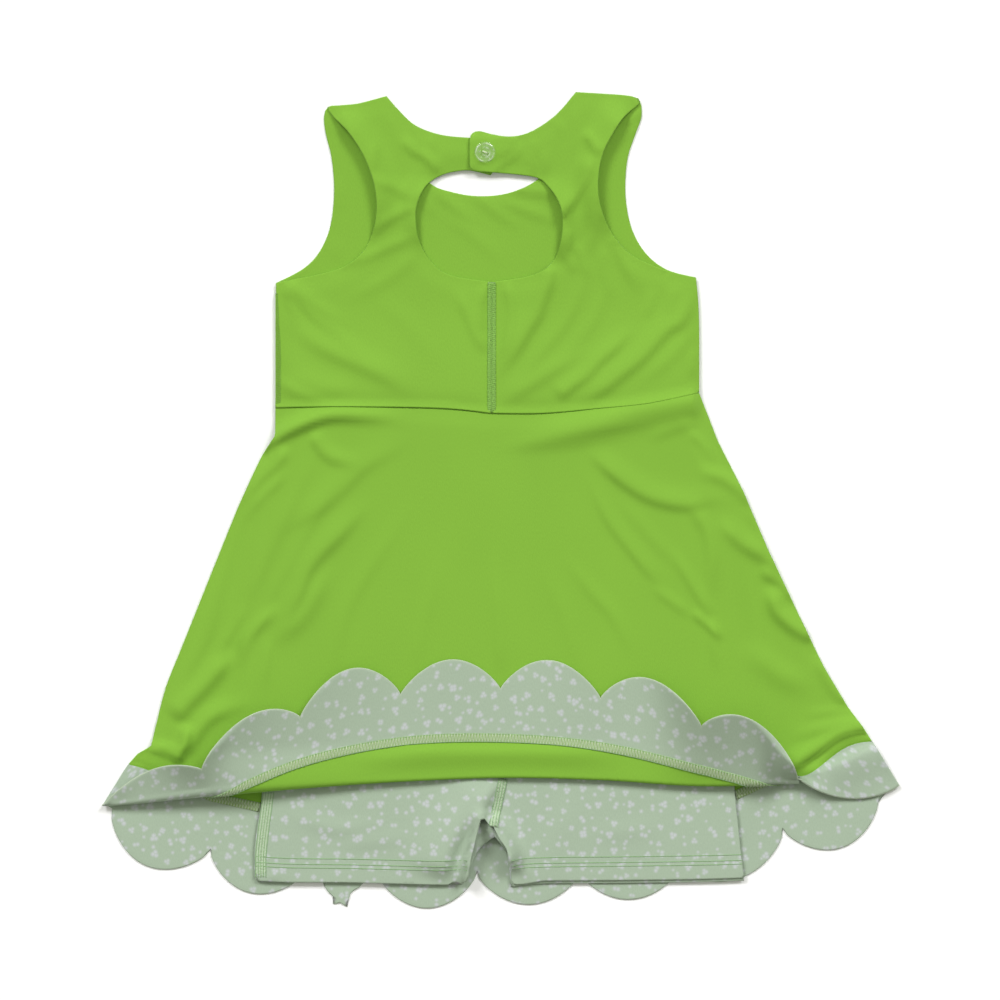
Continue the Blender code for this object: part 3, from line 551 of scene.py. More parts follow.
def cutPanel(name, node, jersey, loop, middleOf, spacing, shift=(0.0, 0.0), **lay):
    # A panel of the lime or the printed jersey, in place of its CAD node
    piece = panelMesh(name, loop, middleOf, spacing, finishes[jersey], shift)
    standIn(piece, node)


def tubeMesh(name, runs, radius, finish, sides=5):
    # Threads as thin tubes with closed ends, joined in one mesh
    points, faces, start = [], [], 0
    angles = np.arange(sides) * 2 * math.pi / sides
    for run in runs:
        run = np.asarray(run, float)
        along = np.gradient(run, axis=0)
        along /= np.linalg.norm(along, axis=1)[:, None] + 1e-12
        across = np.cross(along, (0.0, 0.0, 1.0))
        across /= np.linalg.norm(across, axis=1)[:, None] + 1e-12
        above = np.cross(across, along)
        ring = (
            run[:, None]
            + radius * np.cos(angles)[None, :, None] * across[:, None]
            + radius * np.sin(angles)[None, :, None] * above[:, None]
        )
        points.append(ring.reshape(-1, 3))
        index = start + np.arange(len(run) * sides).reshape(len(run), sides)
        turned = np.roll(index, -1, axis=1)
        quads = np.stack([index[:-1], turned[:-1], turned[1:], index[1:]], axis=-1)
        faces += quads.reshape(-1, 4).tolist()
        faces += [index[0][::-1].tolist(), index[-1].tolist()]
        start += len(run) * sides
    piece = addMesh(name, np.concatenate(points), faces, finish)
    return piece


# The bodice

bodice = {
    # height, then across to the front edge and the back edge on each side
    "armholeRows": [
        (230.0, -105.9, -100.5, 74.6, 84.6),
        (220.0, -104.9, -91.0, 67.7, 81.2),
        (206.0, -101.5, -82.0, 60.9, 76.5),
        (190.0, -99.9, -76.0, 58.4, 74.9),
        (175.0, -100.4, -74.2, 60.2, 75.8),
        (160.0, -103.3, -76.8, 66.8, 79.8),
        (147.0, -109.9, -84.2, 78.6, 88.0),
        (138.0, -119.4, -99.0, 98.6, 100.2),
    ],
    "underarmLeft": (-134.6, 130.2),
    "underarmRight": (117.2, 133.4),
    "sideRight": (119.0, 110.0),
    # height, then across to the left and right edge
    "keyholeRows": [
        (189.5, -43.4, 27.0),
        (181.0, -48.6, 33.4),
        (171.0, -50.8, 36.8),
        (156.0, -48.9, 36.3),
        (143.0, -41.4, 31.3),
        (135.0, -30.5, 19.5),
    ],
    "keyholeBottom": 130.7,
    "centreSeam": -5.3,
    "seamClearance": 10.0,
    "shoulderTop": 244.6,
    "shoulderLeft": [(-68.4, 242.2), (-75.0, 240.4), (-86.0, 237.6), (-97.0, 236.6), (-103.6, 235.6)],
    "neckLeft": [(-68.4, 242.2), (-60.7, 233.4), (-50.7, 224.4), (-35.7, 219.0), (-18.3, 217.2)],
    "strapEnd": [(-4.0, 216.6), (6.0, 216.4), (9.9, 212.6), (8.2, 206.6), (0.0, 201.4)],
    "bridgeLeft": [(-6.0, 194.7), (-18.2, 197.5), (-26.3, 197.0), (-35.5, 194.6)],
    "tabTop": [(-12.7, 221.2), (-5.0, 219.3), (6.0, 217.9), (18.5, 221.0), (33.3, 231.0)],
    "tabCornerTop": [(-18.4, 215.6), (-16.8, 219.9)],
    "tabCornerBottom": [(-9.0, 196.5), (-16.6, 197.3), (-18.4, 199.4)],
    "bridgeRight": [(21.9, 193.1), (9.4, 195.1)],
    "waist": [
        (-135.0, 55.3), (-92.9, 55.9), (-35.5, 54.9), (-5.8, 51.9),
        (25.7, 51.9), (60.2, 54.9), (88.9, 57.8), (119.1, 64.2),
    ],
    "spacing": 2.7,
    "frontSpacing": 3.4,
    # beside the turned edges: its place, its width, and its depth at the armholes and the keyhole
    "edgeGroove": (2.3, 0.7, 0.42, 0.16),
    # rise, width, the share lost towards the right, and how far across that is
    "waistLip": (1.1, 2.4, 0.6, 110.0),
    "strapRise": 1.5,  # of the tab over the end of the left strap
    "strapRun": (3.4, 0.4),  # distance from that end in which it rises
    "strapRoot": [(-60.0, 197.5), (-60.0, 217.2)],  # clear of the tab
}
bodice["shoulderRight"] = [(45.2, bodice["shoulderTop"]), (62.0, 243.6), (78.5, 242.1), (83.8, 238.6)]
bodice["frontNeck"] = [
    (-68.4, 242.2), (-65.0, 229.0), (-57.0, 209.0), (-43.1, 190.6), (-27.9, 184.4), (-10.6, 182.2),
    (6.6, 184.6), (21.9, 192.0), (35.0, 206.0), (43.5, 226.0), (45.2, bodice["shoulderTop"]),
]


def rowPoints(rows, column):
    return [(row[column], row[0]) for row in rows]


def waistHeight(x):
    return rowValue(bodice["waist"], x, 1)


backCreases = [
    # from the left end of the waist
    ([(-143, 32), (-132, 39), (-120, 45), (-108, 49.6), (-96, 51.2), (-76, 50.4)], 4.6, 4.5, 3.8, 0.02, 0.36),
    ([(-112, 38), (-107, 30), (-100.5, 25), (-91, 22.5)], 1.7, 5, 3, 0.1, 0.4),
    ([(-129, 29), (-134.7, 21.6), (-144, 13), (-154, 1)], 1.6, 3.4, 6, 0.1, 0.4),
    ([(-131, 13), (-143, 2), (-151, -8)], 1.0, 3, 4, 0.3, 0.4),
    # long soft folds down the left of the skirt
    ([(-70, 27), (-83, 19), (-95, 7), (-107, -3.6), (-121, -12)], 1.4, 4, 9, 0.4, 0.3),
    ([(-89, -12), (-99, -23), (-108, -32), (-115.5, -42), (-120, -54), (-125, -64), (-129, -70)],
     2.5, 4.2, 8, 0.25, 0.25),
    ([(-106, -47), (-113, -61), (-120, -71), (-131, -81)], 1.8, 5.5, 5, 0.3, 0.3),
    ([(-136, -67), (-145.5, -75.6), (-152, -84), (-154.5, -93)], 1.6, 3.6, 4, 0.2, 0.3),
    ([(-154, -66), (-160.5, -78), (-167, -89)], 1.0, 3, 4, 0.3, 0.3),
    ([(-139, -86), (-140, -96), (-141, -107)], 0.8, 3, 3, 0.3, 0.4),
    ([(-168, -50), (-176, -80), (-190, -108)], 0.9, 4, 5, 0.4, 0.3),
    # from the right end of the waist
    ([(36, 43.5), (60, 48.5), (84, 54), (118, 60)], 4.0, 6, 9, 0.4, 0.05),
    ([(24, 37), (48, 41), (76, 45)], 1.2, 4, 3, 0.4, 0.4),
    ([(10, 33), (36, 35), (62, 38)], 0.9, 4, 4, 0.3, 0.4),
    ([(92, 38), (104, 43), (116, 46)], 0.8, 4, 3, 0.3, 0.2),
    ([(114, 40), (122, 33), (127, 24)], 1.0, 3, 3, 0.2, 0.4),
    # the sharp curved one, and those below it
    ([(59.7, 23), (69.3, 14.6), (79, 7.4), (87.3, 2.6), (98, -1), (110, -2.8), (120, -1)],
     2.3, 8, 3.4, 0.2, 0.3),
    ([(116, -6), (123.3, -18), (126.3, -33.6), (125.7, -50)], 1.5, 5, 4, 0.2, 0.4),
    ([(58, 2), (66, -14), (84, -37), (92.7, -47)], 1.2, 6, 3, 0.3, 0.2),
    ([(74, -4), (92, -24), (104, -36)], 0.6, 5, 4, 0.3, 0.3),
    ([(106.5, -37), (116, -53), (125, -67)], 1.2, 4, 3, 0.3, 0.2),
    ([(93, -54), (111, -67)], 0.9, 3.4, 2.6, 0.3, 0.3),
    ([(115.5, -68.4), (123.3, -74.4), (131, -82)], 1.4, 3, 1.8, 0.15, 0.15),
    ([(128, -73), (127.5, -84), (129, -97)], 0.9, 3, 3, 0.2, 0.4),
    ([(46, -44), (57, -58), (65.7, -67), (74, -82)], 0.8, 5, 3.4, 0.4, 0.4),
    ([(30, -50), (38, -70), (44, -92)], 0.5, 5, 4, 0.4, 0.3),
    ([(-3, -45), (-1, -72), (0, -98)], 0.8, 4, 4, 0.4, 0.2),
    ([(-40, -50), (-46, -72), (-50, -96)], 0.5, 4, 5, 0.4, 0.3),
    ([(-64, -20), (-80, -44), (-92, -66), (-98, -88)], 0.7, 4, 7, 0.4, 0.3),
    ([(-118, 14), (-132, -16), (-146, -46), (-158, -66)], 0.9, 5, 7, 0.3, 0.3),
    ([(-104, 2), (-120, -26), (-134, -52), (-140, -62)], 0.8, 4, 6, 0.3, 0.3),
    # short deep ones along its right edge
    ([(123, 17), (134, 13), (143.7, 6), (150.5, -3)], 2.1, 4, 4.4, 0.2, 0.2),
    ([(148.5, -6), (154, -17), (158.5, -28)], 1.3, 3, 3.6, 0.2, 0.3),
    ([(135, -16), (146, -26.4), (159, -33.6), (167, -42)], 2.5, 6, 4.5, 0.2, 0.15),
    ([(157, -43), (167.7, -49), (175, -59)], 2.1, 4.5, 3.4, 0.15, 0.2),
    ([(162.5, -56), (165.3, -66), (173.7, -74.4), (186, -82)], 3.1, 6, 4.2, 0.15, 0.1),
    ([(151, -91), (165, -103), (180, -111)], 1.6, 7, 7, 0.3, 0.3),
    ([(191, -97), (196.5, -108), (202.5, -116.4), (207, -121)], 2.0, 4, 4, 0.2, 0.1),
    # on the fold's inside
    ([(-76, -154), (-36, -151.6), (10, -150.8), (58, -152)], 2.3, 4.5, 7, 0.2, 0.2),
    ([(-62, -148.5), (-45, -149), (-28, -148.4)], 0.6, 2, 2, 0.3, 0.4),
    # beside the hem's left corner
    ([(-164, -96), (-172, -105), (-179, -113), (-186, -120), (-194, -129)], 3.0, 4.8, 7, 0.2, 0.1),
    ([(-186.5, -150), (-182, -140), (-173, -130), (-160, -124)], 2.4, 6, 3.6, 0.1, 0.4),
    ([(-187, -137), (-189.5, -147), (-194, -156)], 3.4, 2.8, 5, 0.15, 0.1),
    ([(-203.6, -127), (-201.7, -136), (-199.4, -142)], -0.9, 1.5, 1.8, 0.3, 0.3),
    ([(-219, -147.5), (-207, -149), (-195, -151.5)], 2.6, 4, 2.4, 0.1, 0.4),
    ([(-220, -153), (-212.4, -155), (-207, -159)], 1.0, 2, 1.6, 0.1, 0.3),
    # beside its right corner
    ([(174, -160), (182, -154), (192, -147.5), (201, -141.5), (209, -138.5), (219, -136)],
     4.4, 5, 3, 0.02, 0.05),
    ([(188, -165), (204, -158), (220, -151), (234, -148)], 3.8, 3, 14, 0.1, 0.05),
    ([(215, -132), (206, -133), (196, -136), (182, -141)], 1.9, 2.6, 5, 0.1, 0.3),
    ([(211, -126), (197, -127), (186, -129)], 0.9, 2.4, 3, 0.2, 0.3),
    # left of the centre-back seam
    ([(-127.5, 129.6), (-121, 120), (-113, 110.4), (-106, 103.5)], 1.3, 7, 1.8, 0.05, 0.4),
    ([(-128.7, 126), (-125.7, 117.6), (-123.9, 108)], 1.1, 4, 1.6, 0.1, 0.4),
    ([(-125, 129), (-112, 118), (-98, 109)], 0.8, 4, 2.6, 0.1, 0.4),
    ([(-118, 100), (-108, 92.6), (-96, 86.6), (-84, 81.6), (-72, 76), (-61, 70)], 2.1, 8, 5, 0.35, 0.25),
    ([(-104, 108), (-96, 98), (-86, 90)], 0.7, 4, 3, 0.4, 0.4),
    ([(-120, 73), (-108, 68), (-92, 65)], 0.9, 6, 5, 0.3, 0.3),
    ([(-70, 118), (-56, 106), (-44, 90)], 0.5, 6, 6, 0.4, 0.4),
    ([(-132, 70), (-120, 63.5), (-108, 60)], 1.1, 4, 3, 0.2, 0.3),
    ([(-24, 121), (-19, 110), (-14.7, 99.6), (-10, 91)], 1.5, 4, 3, 0.2, 0.15),
    ([(-8.7, 128.4), (-12.3, 120), (-12.9, 111.6), (-11, 104)], 1.3, 2.5, 1.5, 0.15, 0.2),
    # right of it
    ([(3.3, 129.6), (5.7, 120), (6.3, 110.4), (4.5, 99.6), (1.5, 90)], 1.5, 3, 1.8, 0.1, 0.2),
    ([(29.5, 139), (28.5, 129.6), (25.5, 121), (22, 111), (16, 101.4), (10, 91), (3.9, 82.8)],
     2.6, 3.2, 8, 0.04, 0.3),
    ([(113, 118), (107.7, 107), (99.3, 101.4), (87.3, 88), (81, 82), (72, 75), (64, 68.6), (54, 62)],
     2.4, 3.4, 8, 0.2, 0.15),
    ([(74, 97), (67, 90), (58, 82), (52, 75), (43, 68.4), (35.7, 62.4)], 2.1, 2.8, 6, 0.25, 0.06),
    ([(43, 85), (31, 77.4), (16.5, 68.4), (7, 62.4)], 1.4, 3.8, 6, 0.35, 0.2),
    ([(48, 126), (40, 108), (28, 92), (18, 80)], 0.9, 3, 5, 0.3, 0.4),
    ([(62, 124), (56, 108), (46, 94)], 0.7, 3, 4, 0.3, 0.4),
    ([(112, 98), (100, 84), (88, 74)], 1.0, 4, 5, 0.3, 0.4),
    ([(91, 124), (88, 111)], 0.8, 3, 2.6, 0.3, 0.3),
    ([(104, 127), (100, 112)], 0.9, 3, 2.6, 0.3, 0.3),
    ([(115.5, 89), (115, 76)], 0.9, 2.5, 2.5, 0.3, 0.3),
    # right strap, from its armhole to the keyhole and down from there
    ([(53.7, 203), (51.3, 194.4), (47.7, 186), (42.3, 177.6), (36.3, 171)], 2.6, 2.2, 6, 0.15, 0.02),
    ([(60, 196), (57, 180), (50, 164)], 0.7, 2.4, 4, 0.3, 0.3),
    ([(44, 236), (46, 222), (44, 208)], 0.7, 2.4, 3, 0.3, 0.3),
    ([(66, 240), (60, 226), (52, 214)], 0.6, 2.4, 3, 0.2, 0.3),
    ([(50.7, 219.5), (55, 214), (58.5, 208)], 1.7, 3, 2.2, 0.15, 0.1),
    ([(41, 161), (40, 152.4), (37.5, 145)], 1.3, 2, 1.8, 0.15, 0.1),
    ([(45.3, 152), (49, 143), (51.5, 135)], 1.0, 3, 1.8, 0.2, 0.3),
    ([(40, 145), (44, 137.5)], 1.0, 3, 1.8, 0.1, 0.4),
    ([(57.3, 172), (55, 161), (52.5, 150)], 1.0, 3, 2.6, 0.2, 0.3),
    ([(67, 157), (70.5, 149), (75.3, 140.4), (80, 130)], 1.5, 5, 2.8, 0.1, 0.35),
    ([(62, 150), (62, 138), (66, 124)], 0.8, 3, 2.6, 0.2, 0.4),
    ([(19.5, 216), (21, 207)], 0.8, 1.2, 1.6, 0.2, 0.3),
    ([(18.9, 206), (19.9, 196)], 1.0, 1.1, 1.5, 0.3, 0.1),
    ([(28, 209), (27.3, 196)], 0.8, 1.4, 1.6, 0.2, 0.2),
    ([(33, 228), (36, 221)], 0.7, 1.4, 1.6, 0.2, 0.3),
    # left strap
    ([(-58, 215), (-53, 209), (-46, 205.6), (-41, 201), (-38.5, 196.8)], 1.7, 4, 1.8, 0.15, 0.1),
    ([(-52, 225), (-50, 217), (-49, 211)], 1.1, 2.4, 1.4, 0.2, 0.3),
    ([(-43, 218), (-40, 211)], 0.8, 2, 1.6, 0.2, 0.3),
    ([(-73.5, 190), (-65, 188), (-58, 184), (-53, 180)], 1.3, 4, 3.2, 0.25, 0.2),
    ([(-88, 234), (-80, 218), (-70, 200)], 0.6, 3, 4, 0.2, 0.4),
    ([(-66, 232), (-62, 218), (-60, 206)], 0.5, 2.4, 3, 0.2, 0.3),
    ([(-54, 192.5), (-55.5, 185)], 1.0, 1.6, 1.6, 0.2, 0.3),
    ([(-53, 175.4), (-61.5, 170.4), (-70, 165.6), (-75, 160.6)], 1.3, 2, 4, 0.1, 0.1),
    ([(-55.5, 156.6), (-66, 152), (-80.7, 145.4), (-89, 141.8)], 1.2, 2.8, 4, 0.2, 0.2),
    ([(-52, 146), (-66, 134), (-84, 124)], 0.7, 4, 4, 0.2, 0.4),
    ([(-75.5, 213), (-76, 200)], 0.8, 2, 2, 0.3, 0.3),
    ([(-95, 232), (-88.5, 222)], 0.9, 1.4, 2.4, 0.1, 0.4),
    # edges that stand off the front, at the armholes and the keyhole
    ([(-96, 226), (-91, 220), (-82, 206), (-76, 190), (-74, 175), (-75.4, 166)], 5.6, 9, 9, 0.16, 0.24),
    ([(74, 231), (67.7, 220), (61, 206), (58, 190), (60, 175), (64, 166)], 6.0, 9, 9, 0.12, 0.24),
    ([(-44, 188), (-48.6, 181), (-51, 171), (-49, 156)], 3.8, 7, 7, 0.2, 0.3),
    ([(29, 188), (33.4, 181), (37, 171), (36, 156), (34, 150)], 4.4, 7, 7, 0.2, 0.2),
]


def overShorts(x, y):
    outside = np.maximum(rowValue(shorts["sideRows"], y, 1) - x, x - rowValue(shorts["sideRows"], y, 2))
    return softStep(outside, *layers["besideShorts"]) * softStep(y, *layers["aboveShorts"])


def backHeight(x, y):  # underside of the back layer, without its puff
    rise = (layers["backOverShorts"] - layers["back"]) * overShorts(x, y)
    return layers["back"] + rise + np.maximum(creaseHeight(x, y, backCreases), 0.0)


def backBodiceMiddle(x, y, distance):
    step = cloth["curveStep"]
    armholes = [smoothLine(rowPoints(bodice["armholeRows"], column), step) for column in (2, 3)]
    keyhole = rowPoints(bodice["keyholeRows"], 1) + [(bodice["centreSeam"], bodice["keyholeBottom"])]
    keyhole += rowPoints(bodice["keyholeRows"], 2)[::-1]
    fromArmhole = np.minimum(*[edgeDistance(x, y, line, closed=False) for line in armholes])
    fromKeyhole = edgeDistance(x, y, smoothLine(keyhole, step), closed=False)
    place, width, armholeDepth, keyholeDepth = bodice["edgeGroove"]
    groove = armholeDepth * np.exp(-(((fromArmhole - place) / width) ** 2))
    groove += keyholeDepth * np.exp(-(((fromKeyhole - place) / width) ** 2))
    rise, run, loss, right = bodice["waistLip"]
    lip = rise * np.exp(-(((y - waistHeight(x)) / run) ** 2)) * (1 - loss * softStep(x, 0.0, right))
    puff = cloth["puff"] * softStep(distance, 0.0, cloth["puffRun"])
    return backHeight(x, y) + cloth["wall"] / 2 + puff + lip - groove


def tabMiddle(x, y, distance):
    strap = smoothLine(bodice["neckLeft"][-1:] + bodice["strapEnd"] + bodice["bridgeLeft"][:2], 2.0)
    strap = np.concatenate([strap, bodice["strapRoot"]])
    within = insideLoop(x, y, strap)
    outside = np.where(within, 0.0, edgeDistance(x, y, strap))
    rise = bodice["strapRise"] * softStep(outside, *bodice["strapRun"])
    return backBodiceMiddle(x, y, distance) + rise + creaseHeight(x, y, tabCreases)


def armholeLeft(column):  # up from the underarm, and over the shoulder to the neck
    armhole = rowPoints(bodice["armholeRows"], column)[::-1]
    return [bodice["underarmLeft"], *armhole, *bodice["shoulderLeft"][:0:-1]]


def armholeRight(column):  # from the neck over the shoulder, and down to the underarm
    return [*bodice["shoulderRight"], *rowPoints(bodice["armholeRows"], column)]


def makeBackBodice():
    seam, split, clear = bodice["centreSeam"], cloth["seam"] / 2, bodice["seamClearance"]
    foot = float(waistHeight(seam))
    left = closedOutline([
        bodice["neckLeft"] + bodice["strapEnd"],
        bodice["bridgeLeft"] + rowPoints(bodice["keyholeRows"], 1),
        [(seam - split, bodice["keyholeBottom"])],
        [(seam - split, foot), *[point for point in bodice["waist"] if point[0] < seam - clear][:0:-1]],
        [bodice["waist"][0]],
        armholeLeft(2),
    ], bodice["spacing"])
    right = closedOutline([
        bodice["tabCornerBottom"] + bodice["tabCornerTop"] + bodice["tabTop"],
        armholeRight(3),
        [bodice["underarmRight"], bodice["sideRight"]],
        [point for point in bodice["waist"] if point[0] > seam + clear][::-1],
        [(seam + split, foot)],
        [(seam + split, bodice["keyholeBottom"]), *rowPoints(bodice["keyholeRows"], 2)[::-1],
         *bodice["bridgeRight"]],
    ], bodice["spacing"])
    for name, node, loop, middleOf in (
        ("backBodiceLeft", "back_bodice_left", left, backBodiceMiddle),
        ("backBodiceRight", "back_bodice_right", right, tabMiddle),
    ):
        cutPanel(name, node, "lime", loop, middleOf, bodice["spacing"],
                 flat=(0.142, 0.194), held="laid", rests_on=["frontBodice"], area=0.0152)


frontCreases = [
    # small pleats under the tops of the straps
    ([(-104, 231), (-97, 229.5)], 0.7, 0.8, 0.8, 0.2, 0.3),
    ([(-104, 228), (-96, 226)], 0.7, 0.8, 0.8, 0.2, 0.3),
    ([(-103, 225), (-94, 222)], 0.7, 1.0, 1.4, 0.2, 0.3),
    ([(84, 231), (76, 227)], 1.2, 1.2, 1.6, 0.2, 0.3),
    ([(82, 224), (73, 216)], 0.6, 1.6, 3, 0.2, 0.4),
    ([(-45, 182), (-41, 172)], 0.8, 2, 2, 0.2, 0.3),
    ([(-38, 184.6), (-30, 178), (-20, 169.5)], 1.1, 3, 2.6, 0.2, 0.4),
    ([(-13.5, 181.6), (-4, 174), (7, 166.6)], 1.1, 3, 2.6, 0.2, 0.4),
    ([(8.7, 186), (20.7, 185.4), (31, 184.6)], 1.5, 3, 2.8, 0.4, 0.1),
    ([(-1, 179), (11.7, 175.2), (29, 169)], 1.1, 3, 2.6, 0.3, 0.3),
    ([(-30, 168), (-16, 158), (-4, 147)], 0.6, 4, 3, 0.3, 0.4),
    ([(-97, 190), (-96.5, 176)], 0.6, 2.4, 2.4, 0.3, 0.3),
    ([(-99, 155), (-98.5, 144)], 0.6, 2.4, 2.4, 0.3, 0.3),
]

tabCreases = [
    ([(-18.6, 219), (-18.6, 197)], 1.5, 5, 5, 0.15, 0.1),
    ([(-12, 196.8), (6, 195.2), (22, 193)], 0.6, 4, 4, 0.2, 0.3),
    ([(10.4, 216), (9.8, 211), (6.0, 206), (-1, 203.4)], -1.0, 1.7, 1.9, 0.15, 0.2),
]


def frontMiddle(x, y, distance):
    return layers["front"] + cloth["wall"] / 2 + creaseHeight(x, y, frontCreases)


def makeFrontBodice():
    loop = closedOutline([
        bodice["frontNeck"][:-1],
        armholeRight(4),
        [bodice["underarmRight"], bodice["sideRight"]],
        bodice["waist"][:0:-1],
        [bodice["waist"][0]],
        armholeLeft(1),
    ], bodice["spacing"])
    cutPanel("frontBodice", "front_bodice", "lime", loop, frontMiddle, bodice["frontSpacing"],
             cloth["frontMap"], flat=(0.255, 0.194), held="laid", rests_on=["floor"], area=0.0346)


# The skirt's front

skirt = {
    "halfSpan": 239.0,
    # share of the way from the waist to the hem, then across on each side
    "sideRows": [
        (0.0, -135.0, 119.1), (0.07, -135.0, 125.5), (0.12, -143.0, 130.0), (0.25, -157.4, 145.4),
        (0.4, -171.9, 160.4), (0.58, -189.1, 180.4), (0.7, -200.6, 194.0), (0.8, -206.8, 208.0),
        (0.85, -209.5, 216.8), (0.868, -217.6, 219.6), (0.9, -224.2, 224.6), (1.0, -239.0, 239.0),
    ],
    "sideFade": 5,
    "frontSideEnds": (0.892, 0.888),
    # across, up, depth of the next scallop
    "frontCusps": [
        (-233.0, -185.0, 24.0), (-173.8, -209.5, 19.5), (-118.5, -223.8, 0.0), (-108.5, -225.5, 18.0),
        (-80.0, -225.5, 0.0), (-74.0, -223.0, 22.0), (-14.1, -222.8, 20.0), (47.7, -222.6, 18.0),
        (106.5, -220.8, 19.0), (169.2, -197.0, 22.5), (226.5, -177.5, 0.0),
    ],
    # the one that starts here is crumpled, and ends in two tips
    "crumpled": (-108.5, [
        (-105.6, -231.6), (-103.6, -235.0), (-100.6, -237.8), (-100.4, -242.3), (-98.4, -242.2),
        (-96.4, -241.5), (-94.2, -242.8), (-92.0, -244.1), (-90.9, -239.5), (-90.1, -236.2),
        (-88.0, -234.2), (-85.0, -232.6), (-82.4, -230.0),
    ]),
    "frontSeam": [
        (-223.4, -158.6), (-172.5, -178.2), (-144.3, -184.4), (-74.0, -193.0), (-14.0, -194.0),
        (48.0, -193.5), (106.0, -188.5), (141.3, -177.0), (163.0, -167.0), (222.5, -144.8),
    ],
    "frontCorners": ((-237.5, -182.5), (236.0, -169.0)),
    "frontStrips": {"left": (-178.0, -143.4), "right": (140.9, 161.0)},
    "stripPoints": 14,
    "stripLifts": (0.1, 0.6),  # of a strip over the front, and of the loops over the strip
    "seamStep": 6.0,
    "frontSpacing": 7.0,
    "borderSpacing": 3.4,
    "borderMap": (600.0, 3.0),
    "scallopStep": 1.8,
    "notchShare": 0.018,  # of a scallop, straight beside each notch
    "frontPower": 0.62,  # below 1 a scallop is rounder than a sine
    "backPower": 0.75,
}


def scallop(way, power):
    inner = np.clip(way, 0.0, 1.0)
    return np.abs(np.sin(math.pi * inner)) ** power


def sideLine(column, end):
    top = float(waistHeight(skirt["sideRows"][0][column])) - cloth["seam"]
    bottom = fold["rows"][0][0] if column == 1 else fold["lastEdge"][1]
    shares = [row[0] for row in skirt["sideRows"] if row[0] < end] + [end]
    return [
        (float(rowValue(skirt["sideRows"], share, column)), top + (bottom - top) * share)
        for share in shares
    ]


def lowered(points, drop):
    return [(x, y - drop) for x, y in points]


def flatMiddle(floor):
    return lambda x, y, distance: floor + cloth["wall"] / 2 + 0 * x


def makeFrontSkirt():
    leftEnd, rightEnd = skirt["frontSideEnds"]
    loop = []
    for line in (
        lowered(bodice["waist"], cloth["seam"]),
        sideLine(2, rightEnd),
        skirt["frontSeam"][::-1],
        sideLine(1, leftEnd)[::-1],
    ):
        loop += smoothRun(line, skirt["seamStep"])
    cutPanel("frontSkirt", "front_skirt", "lime", loop, flatMiddle(layers["front"]), skirt["frontSpacing"],
             cloth["frontMap"], flat=(0.446, 0.258), held="laid", rests_on=["floor"], area=0.0849)


def scallopEdge(start, end):  # the points of one scallop of the front border
    if start[0] == skirt["crumpled"][0]:
        return [np.array(point) for point in (start[:2], *skirt["crumpled"][1])]
    chord = np.array([end[0] - start[0], end[1] - start[1]])
    size = float(np.linalg.norm(chord))
    out = np.array([chord[1], -chord[0]]) / size
    count = max(2, round(size / skirt["scallopStep"]))
    ways = (1 - np.cos(np.linspace(0, math.pi, count, endpoint=False))) / 2
    ways = ways[(ways == 0) | (np.abs(ways - 0.5) < 0.5 - skirt["notchShare"])]
    drops = start[2] * scallop(ways, skirt["frontPower"])
    return list(np.array(start[:2]) + np.outer(ways, chord) + np.outer(drops, out))


def makeFrontBorder():
    cusps = skirt["frontCusps"]
    edge = [point for start, end in zip(cusps, cusps[1:]) for point in scallopEdge(start, end)]
    seam = lowered(skirt["frontSeam"], cloth["seam"])
    left, right = (np.array(corner) for corner in skirt["frontCorners"])
    loop = smoothRun(seam, skirt["seamStep"]) + [np.array(seam[-1]), right] + edge[::-1] + [left]
    cutPanel("frontBorder", "front_border", "print", loop, flatMiddle(layers["front"]),
             skirt["borderSpacing"], skirt["borderMap"],
             flat=(0.474, 0.10), held="laid", rests_on=["floor"], area=0.021)


# The skirt's back, folded up along its border

fold = {
    "lobes": 8,
    # at each point between two scallops: height of the fold, radius of its roll, seam and edge as
    # distances past the fold, rise of the next scallop, share of the roll's height that the border
    # keeps up to its edge, height that the edge gains
    "rows": [
        (-183.6, 1.4, -25.2, 0.6, 11.0, 1.0, 3.0),
        (-178.0, 5.0, -3.4, 17.1, 17.0, 0.8, 12.5),
        (-172.8, 3.2, 15.9, 42.6, 22.5, 0.3, 8.0),
        (-168.8, 1.4, 24.2, 51.8, 19.4, 0.1, 1.2),
        (-166.5, 1.0, 24.0, 52.8, 20.0, 0.0, 0.0),
        (-167.8, 1.1, 20.3, 48.6, 20.4, 0.1, 2.4),
        (-171.4, 1.8, 10.7, 36.2, 20.5, 0.7, 20.0),
        (-170.2, 2.5, -4.6, 3.4, 0.0, 1.0, 17.0),
    ],
    "settle": 24.0,
    "curlPower": 1.2,  # how a flap's rise gathers towards its edge
    "evenFlap": 0.4,
    "liftPower": 2.4,  # how late the rise changes from one lobe to the next
    "shortestFlap": 8.0,
    # the last scallop lies unfolded: its edge and its seam, from and to
    "lastEdge": (-166.8, -170.8),
    "lastSeam": (-165.6, -144.6),
    "lastDrop": 10.0,
    "lastStand": 5.0,
    "lastStandWay": (0.5, 0.0),
    "lastSpare": 1.0,
    "unfolded": (7.0, 7.25),  # scallops from the left at which it comes to lie so
    "columnStep": 2.1,
    "cuspShares": (0.006, 0.015),  # of a scallop, for more columns beside its ends
    "sideClear": 1.5,  # of the rim's rows, before the first even column
    "skirtRows": 104,
    "borderRows": 26,
    "fineRows": 300,  # from which the rows are picked, closer together round the bend
    "bendMargin": 3.0,
    "bendCrowding": (4.0, 0.8),  # the more, the tighter the bend
    "steepest": 2.5,  # how much wider the rim's rows get on a slanting edge
    "tangentStep": 0.4,
    # above the unfolded seam, a raised band and a groove over it: place, width and height
    "seamBands": ((2.4, 1.9, 0.9), (5.4, 0.9, -0.8)),
    "stripShares": (0.118, 0.862),
}


